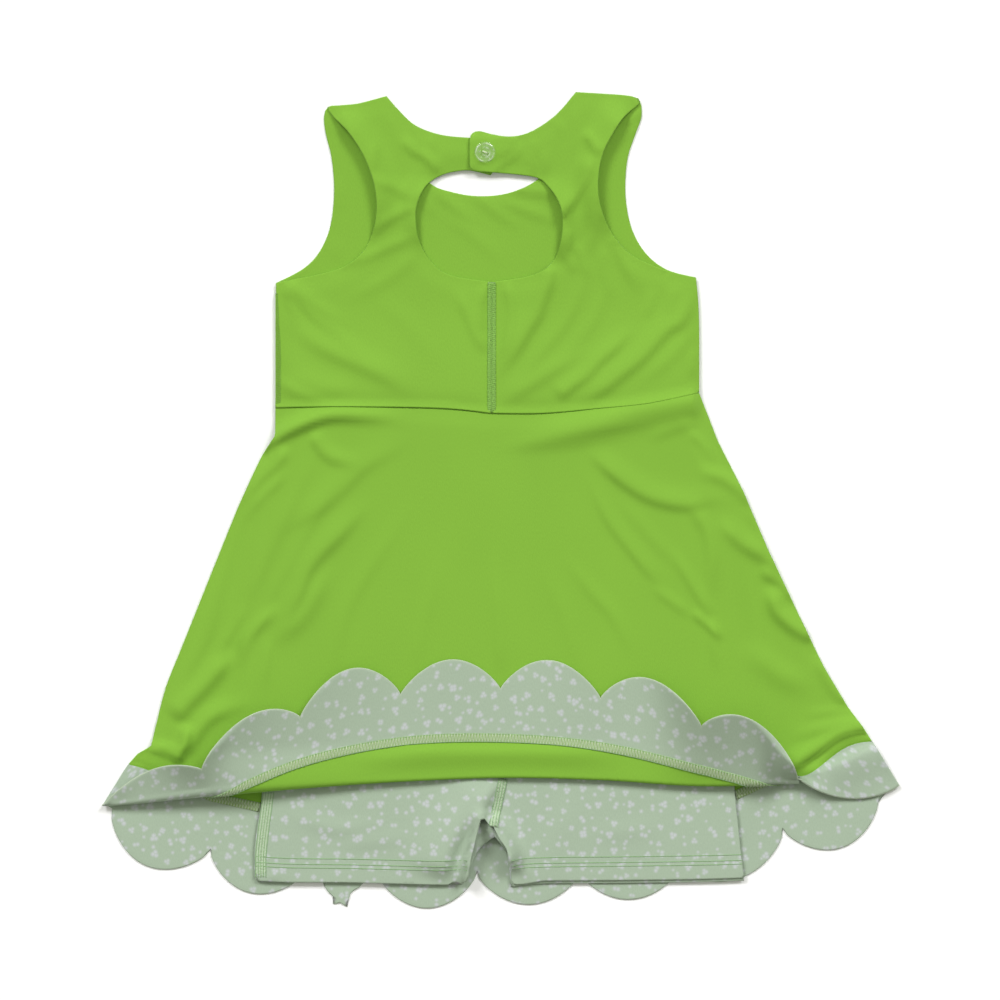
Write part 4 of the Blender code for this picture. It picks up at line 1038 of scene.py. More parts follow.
def smoothColumn(place, column):
    rows = fold["rows"]
    index = min(int(place), len(rows) - 2)
    around = [rows[min(max(index + shift, 0), len(rows) - 1)][column] for shift in (-1, 0, 1, 2)]
    return onCurve(*around, place - index)


def unfoldedLine(own, way):  # down the back where its border lies unfolded
    (edgeFrom, edgeTo), (seamFrom, seamTo) = fold["lastEdge"], fold["lastSeam"]
    drop = fold["lastDrop"] * float(scallop(way, skirt["backPower"]))
    own["fold"] = edgeFrom + (edgeTo - edgeFrom) * way - drop
    own["radius"] = fold["rows"][-1][1]
    own["seam"] = own["waist"] - (seamFrom + (seamTo - seamFrom) * float(ease(way)))
    own["edge"] = own["waist"] - own["fold"]
    own["start"] = own["edge"] + fold["lastSpare"]
    own["stand"] = fold["lastStand"] * float(softStep(way, *fold["lastStandWay"]))
    own.update(bend=0.0, keep=0.0, lift=0.0, flap=fold["shortestFlap"])


def foldedLine(own, lobe, way):
    following = min(lobe + 1, fold["lobes"] - 1)
    values = [smoothColumn(own["place"], column) for column in (0, 1, 2, 5)]
    own["fold"], own["radius"], seamPast, own["keep"] = values
    lift, nextLift = (fold["rows"][row][6] for row in (lobe, following))
    own["lift"] = lift + (nextLift - lift) * float(ease(way)) ** fold["liftPower"]
    own["start"] = own["waist"] - (own["fold"] + own["radius"] + cloth["wall"] / 2)
    own["bend"] = math.pi * own["radius"]
    begin, end = (fold["rows"][row][3] for row in (lobe, following))
    chord = begin + (end - begin) * way
    rise = fold["rows"][lobe][4] * float(scallop(way, skirt["backPower"]))
    own["seam"] = lengthTo(own, seamPast)
    own["edge"] = lengthTo(own, chord + rise)
    even = fold["evenFlap"] + (1 - fold["evenFlap"]) * math.sin(math.pi * way) ** 2
    tip = chord + even * smoothColumn(max(own["place"] - 0.5, 0.0), 4)
    own["flap"] = max(lengthTo(own, tip) - own["start"] - own["bend"], fold["shortestFlap"])
    own["stand"] = 0.0


def foldAt(shares):
    # Numbers for lines down the back, each at its share of the way from the left side to the right
    left, right = skirt["sideRows"][0][1:]
    last = fold["lobes"] - 1
    found = []
    for share in shares:
        own = {"share": share, "place": share * fold["lobes"]}
        own["waist"] = float(waistHeight(left + (right - left) * share)) - cloth["seam"]
        lobe = min(int(own["place"] + 1e-9), last)
        way = own["place"] - lobe
        if lobe == last and way > 1e-6:
            unfoldedLine(own, way)
        else:
            foldedLine(own, lobe, way)
        found.append(own)
    return {key: np.array([own[key] for own in found]) for key in found[0]}


def lengthTo(own, past):
    reach = own["radius"] + cloth["wall"] / 2
    if past > reach:
        return own["start"] + own["bend"] + past - reach
    if past < -reach:
        return own["start"] + past + reach
    return own["start"] + own["bend"] / 2 * (1 + past / reach)


def acrossAt(lines, y):
    down = (lines["waist"] - y) / (lines["waist"] - lines["fold"])
    top, bottom = skirt["sideRows"][0], skirt["sideRows"][-1]
    straight = [top[side] + (bottom[side] - top[side]) * np.minimum(down, 1.0) for side in (1, 2)]
    bulges = [rowValue(skirt["sideRows"], down, side) - straight[side - 1] for side in (1, 2)]
    between = straight[0] + (straight[1] - straight[0]) * lines["share"]
    fade = skirt["sideFade"]
    return between + bulges[0] * (1 - lines["share"]) ** fade + bulges[1] * lines["share"] ** fade


def foldMiddle(lines, length):
    wall = cloth["wall"]
    past = length - lines["start"]
    bendY = lines["waist"] - lines["start"]
    turn = np.clip(past / lines["radius"], 0, math.pi)
    beyond = np.maximum(past - lines["bend"], 0.0)
    y = np.where(past <= 0, lines["waist"] - length, bendY - lines["radius"] * np.sin(turn) + beyond)
    xDown = acrossAt(lines, np.where(past <= 0, y, np.minimum(bendY, y)))
    xBend = acrossAt(lines, bendY + 0 * y)
    xFold = acrossAt(lines, lines["fold"] + 0 * y)
    xUp = xBend + (xFold - xBend) * ease(beyond / fold["settle"])
    x = np.where(beyond > 0, xUp, xDown)
    stood = lines["stand"] * softStep(length, lines["seam"], np.maximum(lines["edge"], lines["seam"] + 1e-6))
    down = backHeight(x, y) + stood
    round_ = backHeight(xBend, bendY + 0 * y) + lines["radius"] * (1 - np.cos(turn)) + stood
    close = wall + 2 * cloth["gap"]
    kept = 1 - (1 - lines["keep"]) * ease(beyond / fold["settle"])
    curled = np.clip(beyond / lines["flap"], 0.0, 1.0) ** fold["curlPower"]
    loft = (2 * lines["radius"] - close) * kept + lines["lift"] * curled
    up = backHeight(xUp, np.maximum(y, bendY)) + close + loft
    z = np.where(past <= 0, down, np.where(beyond > 0, up, round_)) + wall / 2
    sideRun = np.minimum(lines["share"], 1 - lines["share"]) * 2 * skirt["halfSpan"]
    puff = cloth["puff"] * softStep(length, 0.0, cloth["puffRun"]) * softStep(sideRun, 0.0, cloth["puffRun"])
    unfolded = softStep(lines["place"], *fold["unfolded"])
    for place, width, height in fold["seamBands"]:
        puff = puff + height * unfolded * np.exp(-(((lines["seam"] - length - place) / width) ** 2))
    return x, y, z + puff


def foldPoint(lines, length, offset):
    # Off the middle of the wall, out of the side that faces outwards when worn
    x, y, z = foldMiddle(lines, length)
    step = fold["tangentStep"]
    _, y0, z0 = foldMiddle(lines, np.maximum(length - step, 0.0))
    _, y1, z1 = foldMiddle(lines, length + step)
    size = np.hypot(y1 - y0, z1 - z0)
    return np.stack([x, y + offset * (z1 - z0) / size, z - offset * (y1 - y0) / size], axis=-1)


def foldShares():
    # Closer together beside each point between scallops, and at the sides
    wide = 2 * skirt["halfSpan"]
    perLobe = round(wide / fold["lobes"] / fold["columnStep"])
    near = [*fold["cuspShares"], 0.5 / perLobe]
    ways = [np.linspace(0, 1, perLobe, endpoint=False), near, [1 - share for share in near]]
    ways = np.sort(np.concatenate(ways))
    shares = np.concatenate([(lobe + ways) / fold["lobes"] for lobe in range(fold["lobes"])])
    rims = np.array(cloth["rimSteps"]) / wide
    clear = np.minimum(shares, 1 - shares) > rims[-1] * fold["sideClear"]
    return np.concatenate([[0.0], rims, shares[clear], 1 - rims[::-1], [1.0]])


def crowdedLengths(lines, start, end, count, rimStretch):
    rims = np.array(cloth["rimSteps"])[:, None]
    inner = []
    margin = fold["bendMargin"]
    crowding, softer = fold["bendCrowding"]
    for index in range(len(start)):
        low, high = start[index] + rims[-1, 0], end[index] - rims[-1, 0] * rimStretch[index]
        fine = np.linspace(low, high, fold["fineRows"])
        bendEnd = lines["start"][index] + lines["bend"][index]
        near = (fine > lines["start"][index] - margin) & (fine < bendEnd + margin)
        weight = np.where(near, 1 + crowding / (lines["radius"][index] + softer), 1.0)
        total = np.concatenate([[0.0], np.cumsum((weight[1:] + weight[:-1]) / 2)])
        inner.append(np.interp(np.linspace(0, total[-1], count), total, fine))
    inner = np.array(inner).T
    first = np.concatenate([start[None], start[None] + rims[:-1]])
    last = np.concatenate([end[None] - rims[-2::-1] * rimStretch, end[None]])
    return np.concatenate([first, inner, last])


def foldSheet(name, start, end, count, lines, finish, rimStretch=1.0):
    rimStretch = rimStretch + 0 * lines["share"]
    length = crowdedLengths(lines, start, end, count, rimStretch)
    sideRun = np.minimum(lines["share"], 1 - lines["share"]) * 2 * skirt["halfSpan"]
    toEnd = np.minimum(length - start, (end - length) / rimStretch)
    half = cloth["wall"] / 2 * rimShare(np.minimum(toEnd, sideRun))
    half[0] = half[-1] = half[:, 0] = half[:, -1] = 0.0
    upper = foldPoint(lines, length, half)
    lower = foldPoint(lines, length, -half)
    uv = np.stack([lines["share"] * 2 * skirt["halfSpan"] + 0 * length, -length], axis=-1)
    return shellMesh(name, upper, lower, uv, finish)


def makeBackSkirt():
    lines = foldAt(foldShares())
    split = cloth["seam"] / 2
    piece = foldSheet("backSkirt", 0 * lines["share"], lines["seam"] - split, fold["skirtRows"], lines,
                      finishes["lime"])
    standIn(piece, "back_skirt")
    slope = np.abs(np.gradient(lines["edge"], lines["share"] * 2 * skirt["halfSpan"]))
    stretch = np.clip(np.sqrt(1 + slope * slope), 1.0, fold["steepest"])
    border = foldSheet("backBorder", lines["seam"] + split, lines["edge"], fold["borderRows"], lines,
                       finishes["print"], stretch)
    # The cut edge as a thin tube, its pale thread a painted highlight along the border's edge
    cut = foldPoint(lines, lines["edge"] - sewing["cutSink"], -sewing["cutSink"])
    tubeMesh("backBorderCutEdge", [cut], sewing["cutEdge"], finishes["cutEdge"])
    return standIn(border, "back_border")


# Threads and strips

def slanted(turns):  # across the strip and, more steeply, back
    way = np.mod(turns, 1.0)
    swing = np.where(way < sewing["slant"], way / sewing["slant"], (1 - way) / (1 - sewing["slant"]))
    return np.clip(sewing["overreach"] * (2 * swing - 1), -1, 1)


def dashed(length, pitch, lift, sink):
    # Heights of a running stitch: up over each stitch and down into the cloth between two
    wave = np.cos(2 * math.pi * length / pitch)
    return lift - sink * softStep(wave, *sewing["between"])


def stripShares(step):
    start, end = fold["stripShares"]
    return np.linspace(start, end, round((end - start) * 2 * skirt["halfSpan"] / step))


def makeBackSeamStrip():
    half = sewing["stripWidth"] / 2
    under = cloth["wall"] / 2 + sewing["stripGap"]
    rise = sewing["stripHeight"] / 2
    lines = foldAt(stripShares(sewing["stripStep"]))
    length = lines["seam"] + np.array(sewing["stripPlaces"])[:, None] * half
    dome = np.array(sewing["stripDome"])[:, None] + 0 * length
    dome[:, 0] = dome[:, -1] = 0
    upper = foldPoint(lines, length, -(under + rise * dome))
    lower = foldPoint(lines, length, -(under - sewing["stripGap"] * dome))
    lower[0], lower[-1], lower[:, 0], lower[:, -1] = upper[0], upper[-1], upper[:, 0], upper[:, -1]
    uv = np.stack([lines["share"] * 2 * skirt["halfSpan"] + 0 * length, -length], axis=-1)
    strip = shellMesh("backSeamStrip", lower, upper, uv, finishes["overlock"])
    standIn(strip, "back_seam_strip")
    # looper threads over it, and a needle's line along each side of it
    start, end = fold["stripShares"]
    wide = (end - start) * 2 * skirt["halfSpan"]
    count = int(wide / sewing["zigzag"]) * sewing["turnPoints"]
    turns = np.linspace(0, wide / sewing["zigzag"], count)
    swing = slanted(turns)
    own = foldAt(start + turns / turns[-1] * (end - start))
    top = under + rise + sewing["loopClear"] - sewing["loopDrop"] * np.abs(swing) ** 6
    zigzag = foldPoint(own, own["seam"] + swing * half * sewing["loopSpan"], -top)
    loops = tubeMesh("backSeamLoops", [zigzag], sewing["loopRadius"], finishes["looper"])
    own = foldAt(stripShares(sewing["needleStep"]))
    run = own["share"] * 2 * skirt["halfSpan"]
    height = dashed(run, sewing["needlePitch"], under + sewing["needleLift"], sewing["loopDrop"])
    needles = [foldPoint(own, own["seam"] + half * place, -height) for place in sewing["needlePlaces"]]
    needle = tubeMesh("backSeamNeedle", needles, sewing["needleRadius"], finishes["needle"])
    return strip, loops, needle


def flatStrip(name, line, widths, floorOf, finish, lift=0.0):
    # A low domed strip along a line that lies on a panel
    line = np.asarray(line, float)
    along = np.gradient(line, axis=0)
    side = np.stack([-along[:, 1], along[:, 0]], axis=1)
    side /= np.linalg.norm(side, axis=1)[:, None]
    across = np.array(sewing["flatPlaces"])[:, None] * (widths + 0 * line[:, 0]) / 2
    dome = np.array(sewing["flatDome"])[:, None] + 0 * across
    dome[:, 0] = dome[:, -1] = 0
    place = line + side * across[..., None]
    base = floorOf(place[..., 0], place[..., 1]) + lift
    upper = np.concatenate([place, (base + sewing["flatHeight"] * dome)[..., None]], axis=-1)
    lower = np.concatenate([place, (base - sewing["flatSink"] * dome)[..., None]], axis=-1)
    return shellMesh(name, upper[:, ::-1], lower[:, ::-1], place[:, ::-1], finish)


def alongLine(line, run, offset):
    # Points at distances along a line and off it to its left
    line = np.asarray(line, float)
    steps = distances(line)
    x, y = (np.interp(run, steps, line[:, axis]) for axis in (0, 1))
    along = np.gradient(line, axis=0)
    size = np.linalg.norm(along, axis=1)
    sideX, sideY = (np.interp(run, steps, side / size) for side in (-along[:, 1], along[:, 0]))
    return x + sideX * offset, y + sideY * offset


def stitchLine(line, offset, pitch, heightOf, lift, sink=0.5):
    run = np.arange(0.0, lineLength(line), sewing["stitchStep"])
    x, y = alongLine(line, run, offset)
    return np.stack([x, y, heightOf(x, y) + dashed(run, pitch, lift, sink)], axis=1)


def zigzagLine(line, width, pitch, heightOf, lift):
    count = int(lineLength(line) / pitch)
    turns = np.linspace(0, count, count * sewing["turnPoints"])
    swing = slanted(turns)
    x, y = alongLine(line, turns * pitch, swing * width / 2)
    return np.stack([x, y, heightOf(x, y) + lift - sewing["flatDrop"] * np.abs(swing) ** 6], axis=1)


def backTop(x, y):  # upper side of the back bodice beside its seams
    return backHeight(x, y) + cloth["wall"]


tapes = {
    "centreWidth": 4.8,
    "centreEnds": (0.8, 0.3),  # from the waist, and from the keyhole
    "centrePoints": 60,
    "centreLift": 0.35,
    "coverSpan": 0.9,  # share of the tape's width
    "coverLift": 0.8,
    "needlePitch": 2.4,
    "needlePlace": 0.46,
    "needleLift": 0.72,
    "mesh": 1.15,  # pitch of the cover threads
    "radius": 0.2,
    "sideWidth": 3.6,
    "sideEdge": -134.9,
    "sideSpan": (57.0, 124.0),
    "sidePoints": 40,
    "sideTaper": (82.0, 130.0),
    "sideLoss": 0.7,
    # its cover threads: points, pitch, swing to each side as a share of its width, and height
    "sideCover": (420, 1.38, 0.42, 0.4),
}


def makeTapes():
    seam, width = bodice["centreSeam"], tapes["centreWidth"]
    clearLow, clearHigh = tapes["centreEnds"]
    low, high = float(waistHeight(seam)) + clearLow, bodice["keyholeBottom"] - clearHigh
    heights = np.linspace(low, high, tapes["centrePoints"])
    line = np.stack([seam + 0 * heights, heights], axis=1)
    tape = flatStrip("centreBackTape", line, width, backTop, finishes["tape"], tapes["centreLift"])
    standIn(tape, "centre_back_tape")
    runs = [zigzagLine(line, width * tapes["coverSpan"], tapes["mesh"], backTop, tapes["coverLift"])]
    for side in (-1, 1):
        place = side * width * tapes["needlePlace"]
        runs.append(stitchLine(line, place, tapes["needlePitch"], backTop, tapes["needleLift"]))
    tubeMesh("centreBackLoops", runs, tapes["radius"], finishes["tape"])
    heights = np.linspace(*tapes["sideSpan"], tapes["sidePoints"])
    widths = tapes["sideWidth"] * (1 - tapes["sideLoss"] * softStep(heights, *tapes["sideTaper"]))
    line = np.stack([tapes["sideEdge"] + widths / 2, heights], axis=1)
    # the tape and its loops take the darker thread, which paints in the shadow along the side seam
    tape = flatStrip("sideSeamTape", line, widths, backTop, finishes["shadedSideTape"])
    standIn(tape, "side_seam_tape")
    points, pitch, swing, lift = tapes["sideCover"]
    y = np.linspace(*tapes["sideSpan"], points)
    wave = np.sin(2 * math.pi * (y - y[0]) / pitch)
    x = np.interp(y, heights, line[:, 0]) + wave * swing * np.interp(y, heights, widths)
    cover = np.stack([x, y, backTop(x, y) + lift], axis=1)
    tubeMesh("sideSeamLoops", [cover], tapes["radius"], finishes["shadedSideTape"])


def makeSeamThreads():
    # Stitches that fill the ditch between two panels
    start, end = skirt["sideRows"][0][1:]
    x = np.arange(start + 1.0, end - 1.0, 0.5)
    y = waistHeight(x) - cloth["seam"] / 2
    wave = sewing["waistWave"] * np.cos(2 * math.pi * x / sewing["waistPitch"])
    runs = [np.stack([x, y, backTop(x, y) - sewing["waistDepth"] + wave], axis=1)]
    height, turn = sewing["borderWave"]
    for low, high, count in sewing["borderShares"]:
        lines = foldAt(np.linspace(low, high, count))
        lift = cloth["wall"] / 2 - sewing["borderDepth"] + height * np.cos(np.arange(count) * turn)
        runs.append(foldPoint(lines, lines["seam"], lift))
    tubeMesh("seamThread", runs, sewing["ditchRadius"], finishes["lime"])


def onFront(x, y):
    return layers["front"] + cloth["wall"] + skirt["stripLifts"][0] + 0 * x


def makeFrontSeamStrips():
    width = sewing["stripWidth"]
    for side, ends in skirt["frontStrips"].items():
        across = np.linspace(*ends, skirt["stripPoints"])
        line = np.stack([across, rowValue(skirt["frontSeam"], across, 1)], axis=1)
        strip = flatStrip(f"frontSeamStrip_{side}", line, width, onFront, finishes["overlock"])
        standIn(strip, f"front_seam_strip_{side}")
        span, lift = width * sewing["loopSpan"], skirt["stripLifts"][1]
        loops = [zigzagLine(line, span, sewing["zigzag"], onFront, lift)]
        tubeMesh(f"frontSeamLoops_{side}", loops, sewing["loopRadius"], finishes["looper"])


# The shorts

shorts = {
    "top": 49.0,
    "spacing": 3.2,
    "frontEdge": 4.0,
    "frontSpacing": 4.4,
    "sideRows": [
        (49.0, -112.0, 97.0), (0.0, -128.0, 118.0), (-60.0, -136.0, 128.0), (-120.0, -140.6, 137.0),
        (-174.0, -142.8, 140.4), (-196.0, -145.8, 142.6), (-212.0, -147.5, 144.2), (-226.4, -147.6, 146.0),
    ],
    "seamTop": (1.5, -167.0),
    "seamEnd": (-4.4, -195.0),
    "seamWidth": 5.4,
    "leftHem": [(-145.9, -228.2), (-125.5, -229.1), (-89.4, -229.3), (-31.3, -230.6), (-20.5, -227.8)],
    "leftInner": [(-18.6, -220.3), (-16.2, -209.6), (-12.8, -195.6), (-11.6, -191.2), (-9.6, -190.8),
                  (-7.4, -193.8)],
    "rightInner": [(-0.4, -203.4), (3.4, -208.4), (4.6, -215.0), (6.4, -221.6), (7.9, -230.2)],
    "rightHem": [(25.9, -228.2), (74.1, -227.9), (122.3, -227.2), (146.0, -226.4)],
    "frontDrops": (0.2, 1.8),
    "frontCorner": (146.0, -228.2),
    "gussetLeft": [(-21.5, -229.0), (-14.0, -211.0)],
    "gussetRight": [(-3.4, -201.6), (3.0, -211.0)],
    "gussetFoot": (6.5, -232.0),
    "creases": [
        # the left leg's inner edge stands up, with a soft fall beside it
        ([(-20, -229), (-18.6, -216), (-14.6, -200), (-11.6, -189), (-7, -193)], 9.4, 2.9, 3.6, 0.05, 0.1),
        ([(-6, -173), (-14, -184), (-24, -197), (-31, -210), (-34.5, -224)], 5.6, 4.6, 16, 0.2, 0.1),
        ([(-25.5, -226), (-22.5, -229)], 1.2, 1.6, 1.6, 0.2, 0.2),
        ([(-7, -193), (-4, -197), (0.5, -203), (5, -211), (7, -220)], 10.4, 5.6, 4, 0.1, 0.2),
        ([(-3, -170), (-8, -180), (-9.5, -187)], 1.6, 2, 3, 0.2, 0.3),
        ([(4, -214), (9, -218)], 1.0, 1.6, 1.6, 0.2, 0.4),
        ([(40, -186), (32, -205), (30, -224)], 0.8, 9, 9, 0.4, 0.4),
        ([(-118, -192), (-98, -197), (-80, -195)], 1.0, 5, 4, 0.4, 0.4),
        ([(-92, -206), (-60, -203)], 0.7, 5, 4, 0.4, 0.4),
        ([(60, -200), (90, -197)], 0.6, 6, 5, 0.4, 0.4),
        ([(-140, -227), (-132, -224)], 0.8, 2, 2, 0.3, 0.3),
        ([(12, -226), (18, -222)], 0.8, 2, 2, 0.3, 0.3),
    ],
    # and the crotch between them rises with it
    "gussetCreases": [
        ([(-20, -226), (-18.6, -216), (-14.6, -200), (-11.6, -190)], 5.4, 2.2, 10, 0.05, 0.05),
        ([(-7, -194), (-4, -197), (0.5, -203), (4, -209)], 7.4, 4, 11, 0.05, 0.1),
    ],
    "gussetLift": (0.85, 3.0),  # share of the legs' rise that it may have, and how far that counts
    # flatlock down the centre: its needle lines as shares of half its width, its loops' share of it,
    # and the heights of the strip, the needle lines and the loops
    "seamStep": 2.0,
    "seamShares": (-0.9, -0.32, 0.32, 0.9),
    "seamLoops": 0.9,
    "seamLifts": (0.1, 0.6, 0.58),
    # down the left side, of which only the lower end shows: the same for it, and its strip's share
    "sideTop": -170.0,
    "sideSpan": (0.9, 7.1),  # from the side
    "sideLines": 5,
    "sideBand": 1.04,
    "sideLoops": 0.92,
    "sideLifts": (-0.25, 0.14, 0.16),
    # coverstitch at the hems
    "hems": [
        [(-147.2, -227.8), (-125.5, -228.9), (-89.4, -229.3), (-50.0, -230.2), (-20.0, -230.0)],
        [(7.6, -229.6), (25.9, -228.4), (74.1, -227.9), (122.3, -227.2), (145.4, -226.6)],
    ],
    "hemStep": 3.0,
    "hemLines": (14.2, 10.8, 8.6),  # over the hem
    "hemLift": 0.1,
    "seamPitch": 2.6,
    "hemPitch": 2.8,
    "loopPitch": 1.9,
    "sink": 0.12,  # of the thread between two stitches
    "needleRadius": 0.26,
    "loopRadius": 0.17,
}


def legHeight(x, y):
    return layers["shortsBack"] + np.maximum(creaseHeight(x, y, shorts["creases"]), 0.0)


def legMiddle(x, y, distance):
    return legHeight(x, y) + cloth["wall"] / 2


def gussetMiddle(x, y, distance):
    rise = creaseHeight(x, y, shorts["gussetCreases"])
    share, whole = shorts["gussetLift"]
    under = share * (legHeight(x, y) - layers["shortsBack"]) + softStep(rise, 0.0, whole)
    rise = np.minimum(rise, under)
    return layers["shortsFront"] + cloth["wall"] / 2 + rise


def legTop(x, y):
    return legHeight(x, y) + cloth["wall"]


def makeShorts():
    sides = [rowPoints(shorts["sideRows"], column) for column in (1, 2)]
    split = cloth["seam"] / 2
    (topX, topY), (endX, endY) = shorts["seamTop"], shorts["seamEnd"]
    left = closedOutline([
        [(topX - split, shorts["top"])],
        sides[0][:-1],
        shorts["leftHem"],
        shorts["leftInner"],
        [(endX - split, endY)],
        [(topX - split, topY)],
    ], shorts["spacing"])
    right = closedOutline([
        [(topX + split, shorts["top"])],
        [(topX + split, topY)],
        [(endX + split, endY)],
        shorts["rightInner"],
        shorts["rightHem"][:-1],
        sides[1][::-1],
    ], shorts["spacing"])
    front = closedOutline([
        sides[0],
        lowered(shorts["leftHem"][:-1], shorts["frontDrops"][0]),
        shorts["gussetLeft"],
        shorts["gussetRight"],
        [shorts["gussetFoot"], *lowered(shorts["rightHem"][:-1], shorts["frontDrops"][1])],
        [shorts["frontCorner"], *sides[1][-2::-1]],
    ], shorts["frontEdge"])
    cutPanel("shortsBackLeft", "shorts_back_left", "print", left, legMiddle, shorts["spacing"], (0, 1.0),
             flat=(0.149, 0.28), held="laid", rests_on=["shortsFront"], area=0.0374)
    cutPanel("shortsBackRight", "shorts_back_right", "print", right, legMiddle, shorts["spacing"], (1.0, 0),
             flat=(0.151, 0.28), held="laid", rests_on=["shortsFront"], area=0.0358)
    cutPanel("shortsFront", "shorts_front", "print", front, gussetMiddle, shorts["frontSpacing"], (7, 7),
             flat=(0.294, 0.282), held="laid", rests_on=["frontSkirt"], area=0.0745)


def makeShortsSewing():
    width, finish = shorts["seamWidth"], finishes["flatlock"]
    pitch, mesh, sink = shorts["seamPitch"], shorts["loopPitch"], shorts["sink"]
    centre = smoothLine([shorts["seamTop"], shorts["seamEnd"]], shorts["seamStep"])
    stripLift, needleLift, loopLift = shorts["seamLifts"]
    strip = flatStrip("shortsCentreSeam", centre, width, legTop, finish, stripLift)
    standIn(strip, "shorts_centre_seam")
    places = [width / 2 * share for share in shorts["seamShares"]]
    needles = [stitchLine(centre, place, pitch, legTop, needleLift, sink) for place in places]
    loops = [zigzagLine(centre, width * shorts["seamLoops"], mesh, legTop, loopLift)]
    side = smoothLine(rowPoints(shorts["sideRows"][4:], 1), shorts["seamStep"])
    side = side[side[:, 1] < shorts["sideTop"]]
    first, last = shorts["sideSpan"]
    steps = np.arange(0.0, lineLength(side), shorts["seamStep"])
    middle = np.stack(alongLine(side, steps, (first + last) / 2), axis=1)
    stripLift, needleLift, loopLift = shorts["sideLifts"]
    band = flatStrip("shortsSideSeam", middle, (last - first) * shorts["sideBand"], legTop, finish, stripLift)
    for place in np.linspace(first, last, shorts["sideLines"]):
        needles.append(stitchLine(side, place, pitch, legTop, needleLift, sink))
    loops.append(zigzagLine(middle, (last - first) * shorts["sideLoops"], mesh, legTop, loopLift))
    for points in shorts["hems"]:
        hem = smoothLine(points, shorts["hemStep"])
        for height in shorts["hemLines"]:
            needles.append(stitchLine(hem, height, shorts["hemPitch"], legTop, shorts["hemLift"], sink))
    tubeMesh("shortsNeedle", needles, shorts["needleRadius"], finishes["needle"])
    tubeMesh("shortsLoops", loops, shorts["loopRadius"], finish)


# The button

button = {
    "centre": (-9.3, 208.3),
    "clear": 0.15,  # of the tab
    # out from the axis, up from its underside
    "profile": [(5.35, 0.0), (6.35, 1.0), (5.95, 1.9), (5.15, 2.2), (4.3, 2.1), (3.3, 1.45), (2.9, 1.4)],
    "sides": 64,
    "tint": "d4e6c0",
    # milky by a ripple of this size: less its middle, times the strength, and more by the least
    "ripple": 3.2,
    "milk": (0.4, 0.2, 0.08),
    # painted highlights: pale rings where the clear resin would gather light, broken by the ripple
    "paintedHighlightRings": ((5.4, 0.6, 0.5), (3.0, 0.5, 0.34), (1.9, 0.6, 0.34)),  # radius, width, strength
    "paintedHighlightBreaks": (0.46, 0.6),
    "holeRadius": 0.9,
    "holeOffset": 1.5,
    "holeSides": 24,
    "drill": 9.0,  # length of the cutter
    "turn": -25.0,
    "bevel": 0.18,
    "bevelAngle": 35.0,
    # threads through the holes: their places side by side, radius, reach past the middle of each hole,
    # height, and how deep their ends go
    "threads": (-0.32, 0.0, 0.32),
    "threadPoints": 15,
    "threadRadius": 0.2,
    "threadReach": 0.25,
    "threadTop": 1.75,
    "threadDrop": 2.1,
}


def resinFinish():
    # Clear polyester resin, cast and polished: the green shows through it, and pale rings on it are painted
    # highlights where light would gather
    finish, tree, shader = newFinish(
        "clearResinPaintedHighlights", {"Base Color": colour(button["tint"]), "Roughness": 0.1, "IOR": 1.54}
    )
    place = onObject(tree)
    centre = (button["centre"][0] * mm, button["centre"][1] * mm, 0)
    flat = addNode(tree, "ShaderNodeVectorMath", {0: place, 1: (1, 1, 0)}, operation="MULTIPLY").outputs[0]
    out = addNode(tree, "ShaderNodeVectorMath", {0: flat, 1: centre}, operation="DISTANCE").outputs[1]
    ripple = noise(tree, place, button["ripple"] * mm, 1.0)
    middle, strength, least = button["milk"]
    milkAndPaintedHighlights = calc(tree, "MULTIPLY_ADD", calc(tree, "SUBTRACT", ripple, middle), strength, least)
    # each painted highlight ring makes the pale tint more opaque, on top of the milkiness
    for radius, width, share in button["paintedHighlightRings"]:
        off = calc(tree, "ABSOLUTE", calc(tree, "SUBTRACT", out, radius * mm))
        ring = ranged(tree, off, width * mm, 0.0, 0.0, share, "SMOOTHSTEP")
        milkAndPaintedHighlights = calc(tree, "MULTIPLY_ADD", ring, ranged(tree, ripple, *button["paintedHighlightBreaks"]), milkAndPaintedHighlights)
    tree.links.new(milkAndPaintedHighlights, shader.inputs["Alpha"])
    return finish


def turnedDisc(x, y, base):  # the button's profile, drawn up ring by ring
    first = button["profile"][0]
    bpy.ops.object.select_all(action="DESELECT")
    bpy.ops.mesh.primitive_circle_add(
        vertices=button["sides"], radius=first[0] * mm, fill_type="NGON",
        location=(x * mm, y * mm, (base + first[1]) * mm),
    )
    piece = bpy.context.object
    piece.name = piece.data.name = "clearButton"
    bpy.ops.object.transform_apply()
    bpy.ops.object.mode_set(mode="EDIT")
    bpy.ops.mesh.select_all(action="SELECT")
    for before, after in zip(button["profile"], button["profile"][1:]):
        rise = (after[1] - before[1]) * mm
        bpy.ops.mesh.extrude_region_move(TRANSFORM_OT_translate={"value": (0, 0, rise)})
        grow = after[0] / before[0]
        bpy.ops.transform.resize(value=(grow, grow, 1), center_override=(x * mm, y * mm, base * mm))
    bpy.ops.mesh.select_all(action="SELECT")
    bpy.ops.mesh.normals_make_consistent(inside=False)
    bpy.ops.object.mode_set(mode="OBJECT")
    return piece


def cutHole(piece, x, y, z):
    bpy.ops.mesh.primitive_cylinder_add(
        vertices=button["holeSides"], radius=button["holeRadius"] * mm, depth=button["drill"] * mm,
        location=(x * mm, y * mm, z * mm),
    )
    cutter = bpy.context.object
    cut = piece.modifiers.new("hole", "BOOLEAN")
    cut.object = cutter
    bpy.ops.object.select_all(action="DESELECT")
    bpy.context.view_layer.objects.active = piece
    piece.select_set(True)
    bpy.ops.object.modifier_apply(modifier=cut.name)
    bpy.data.objects.remove(cutter)


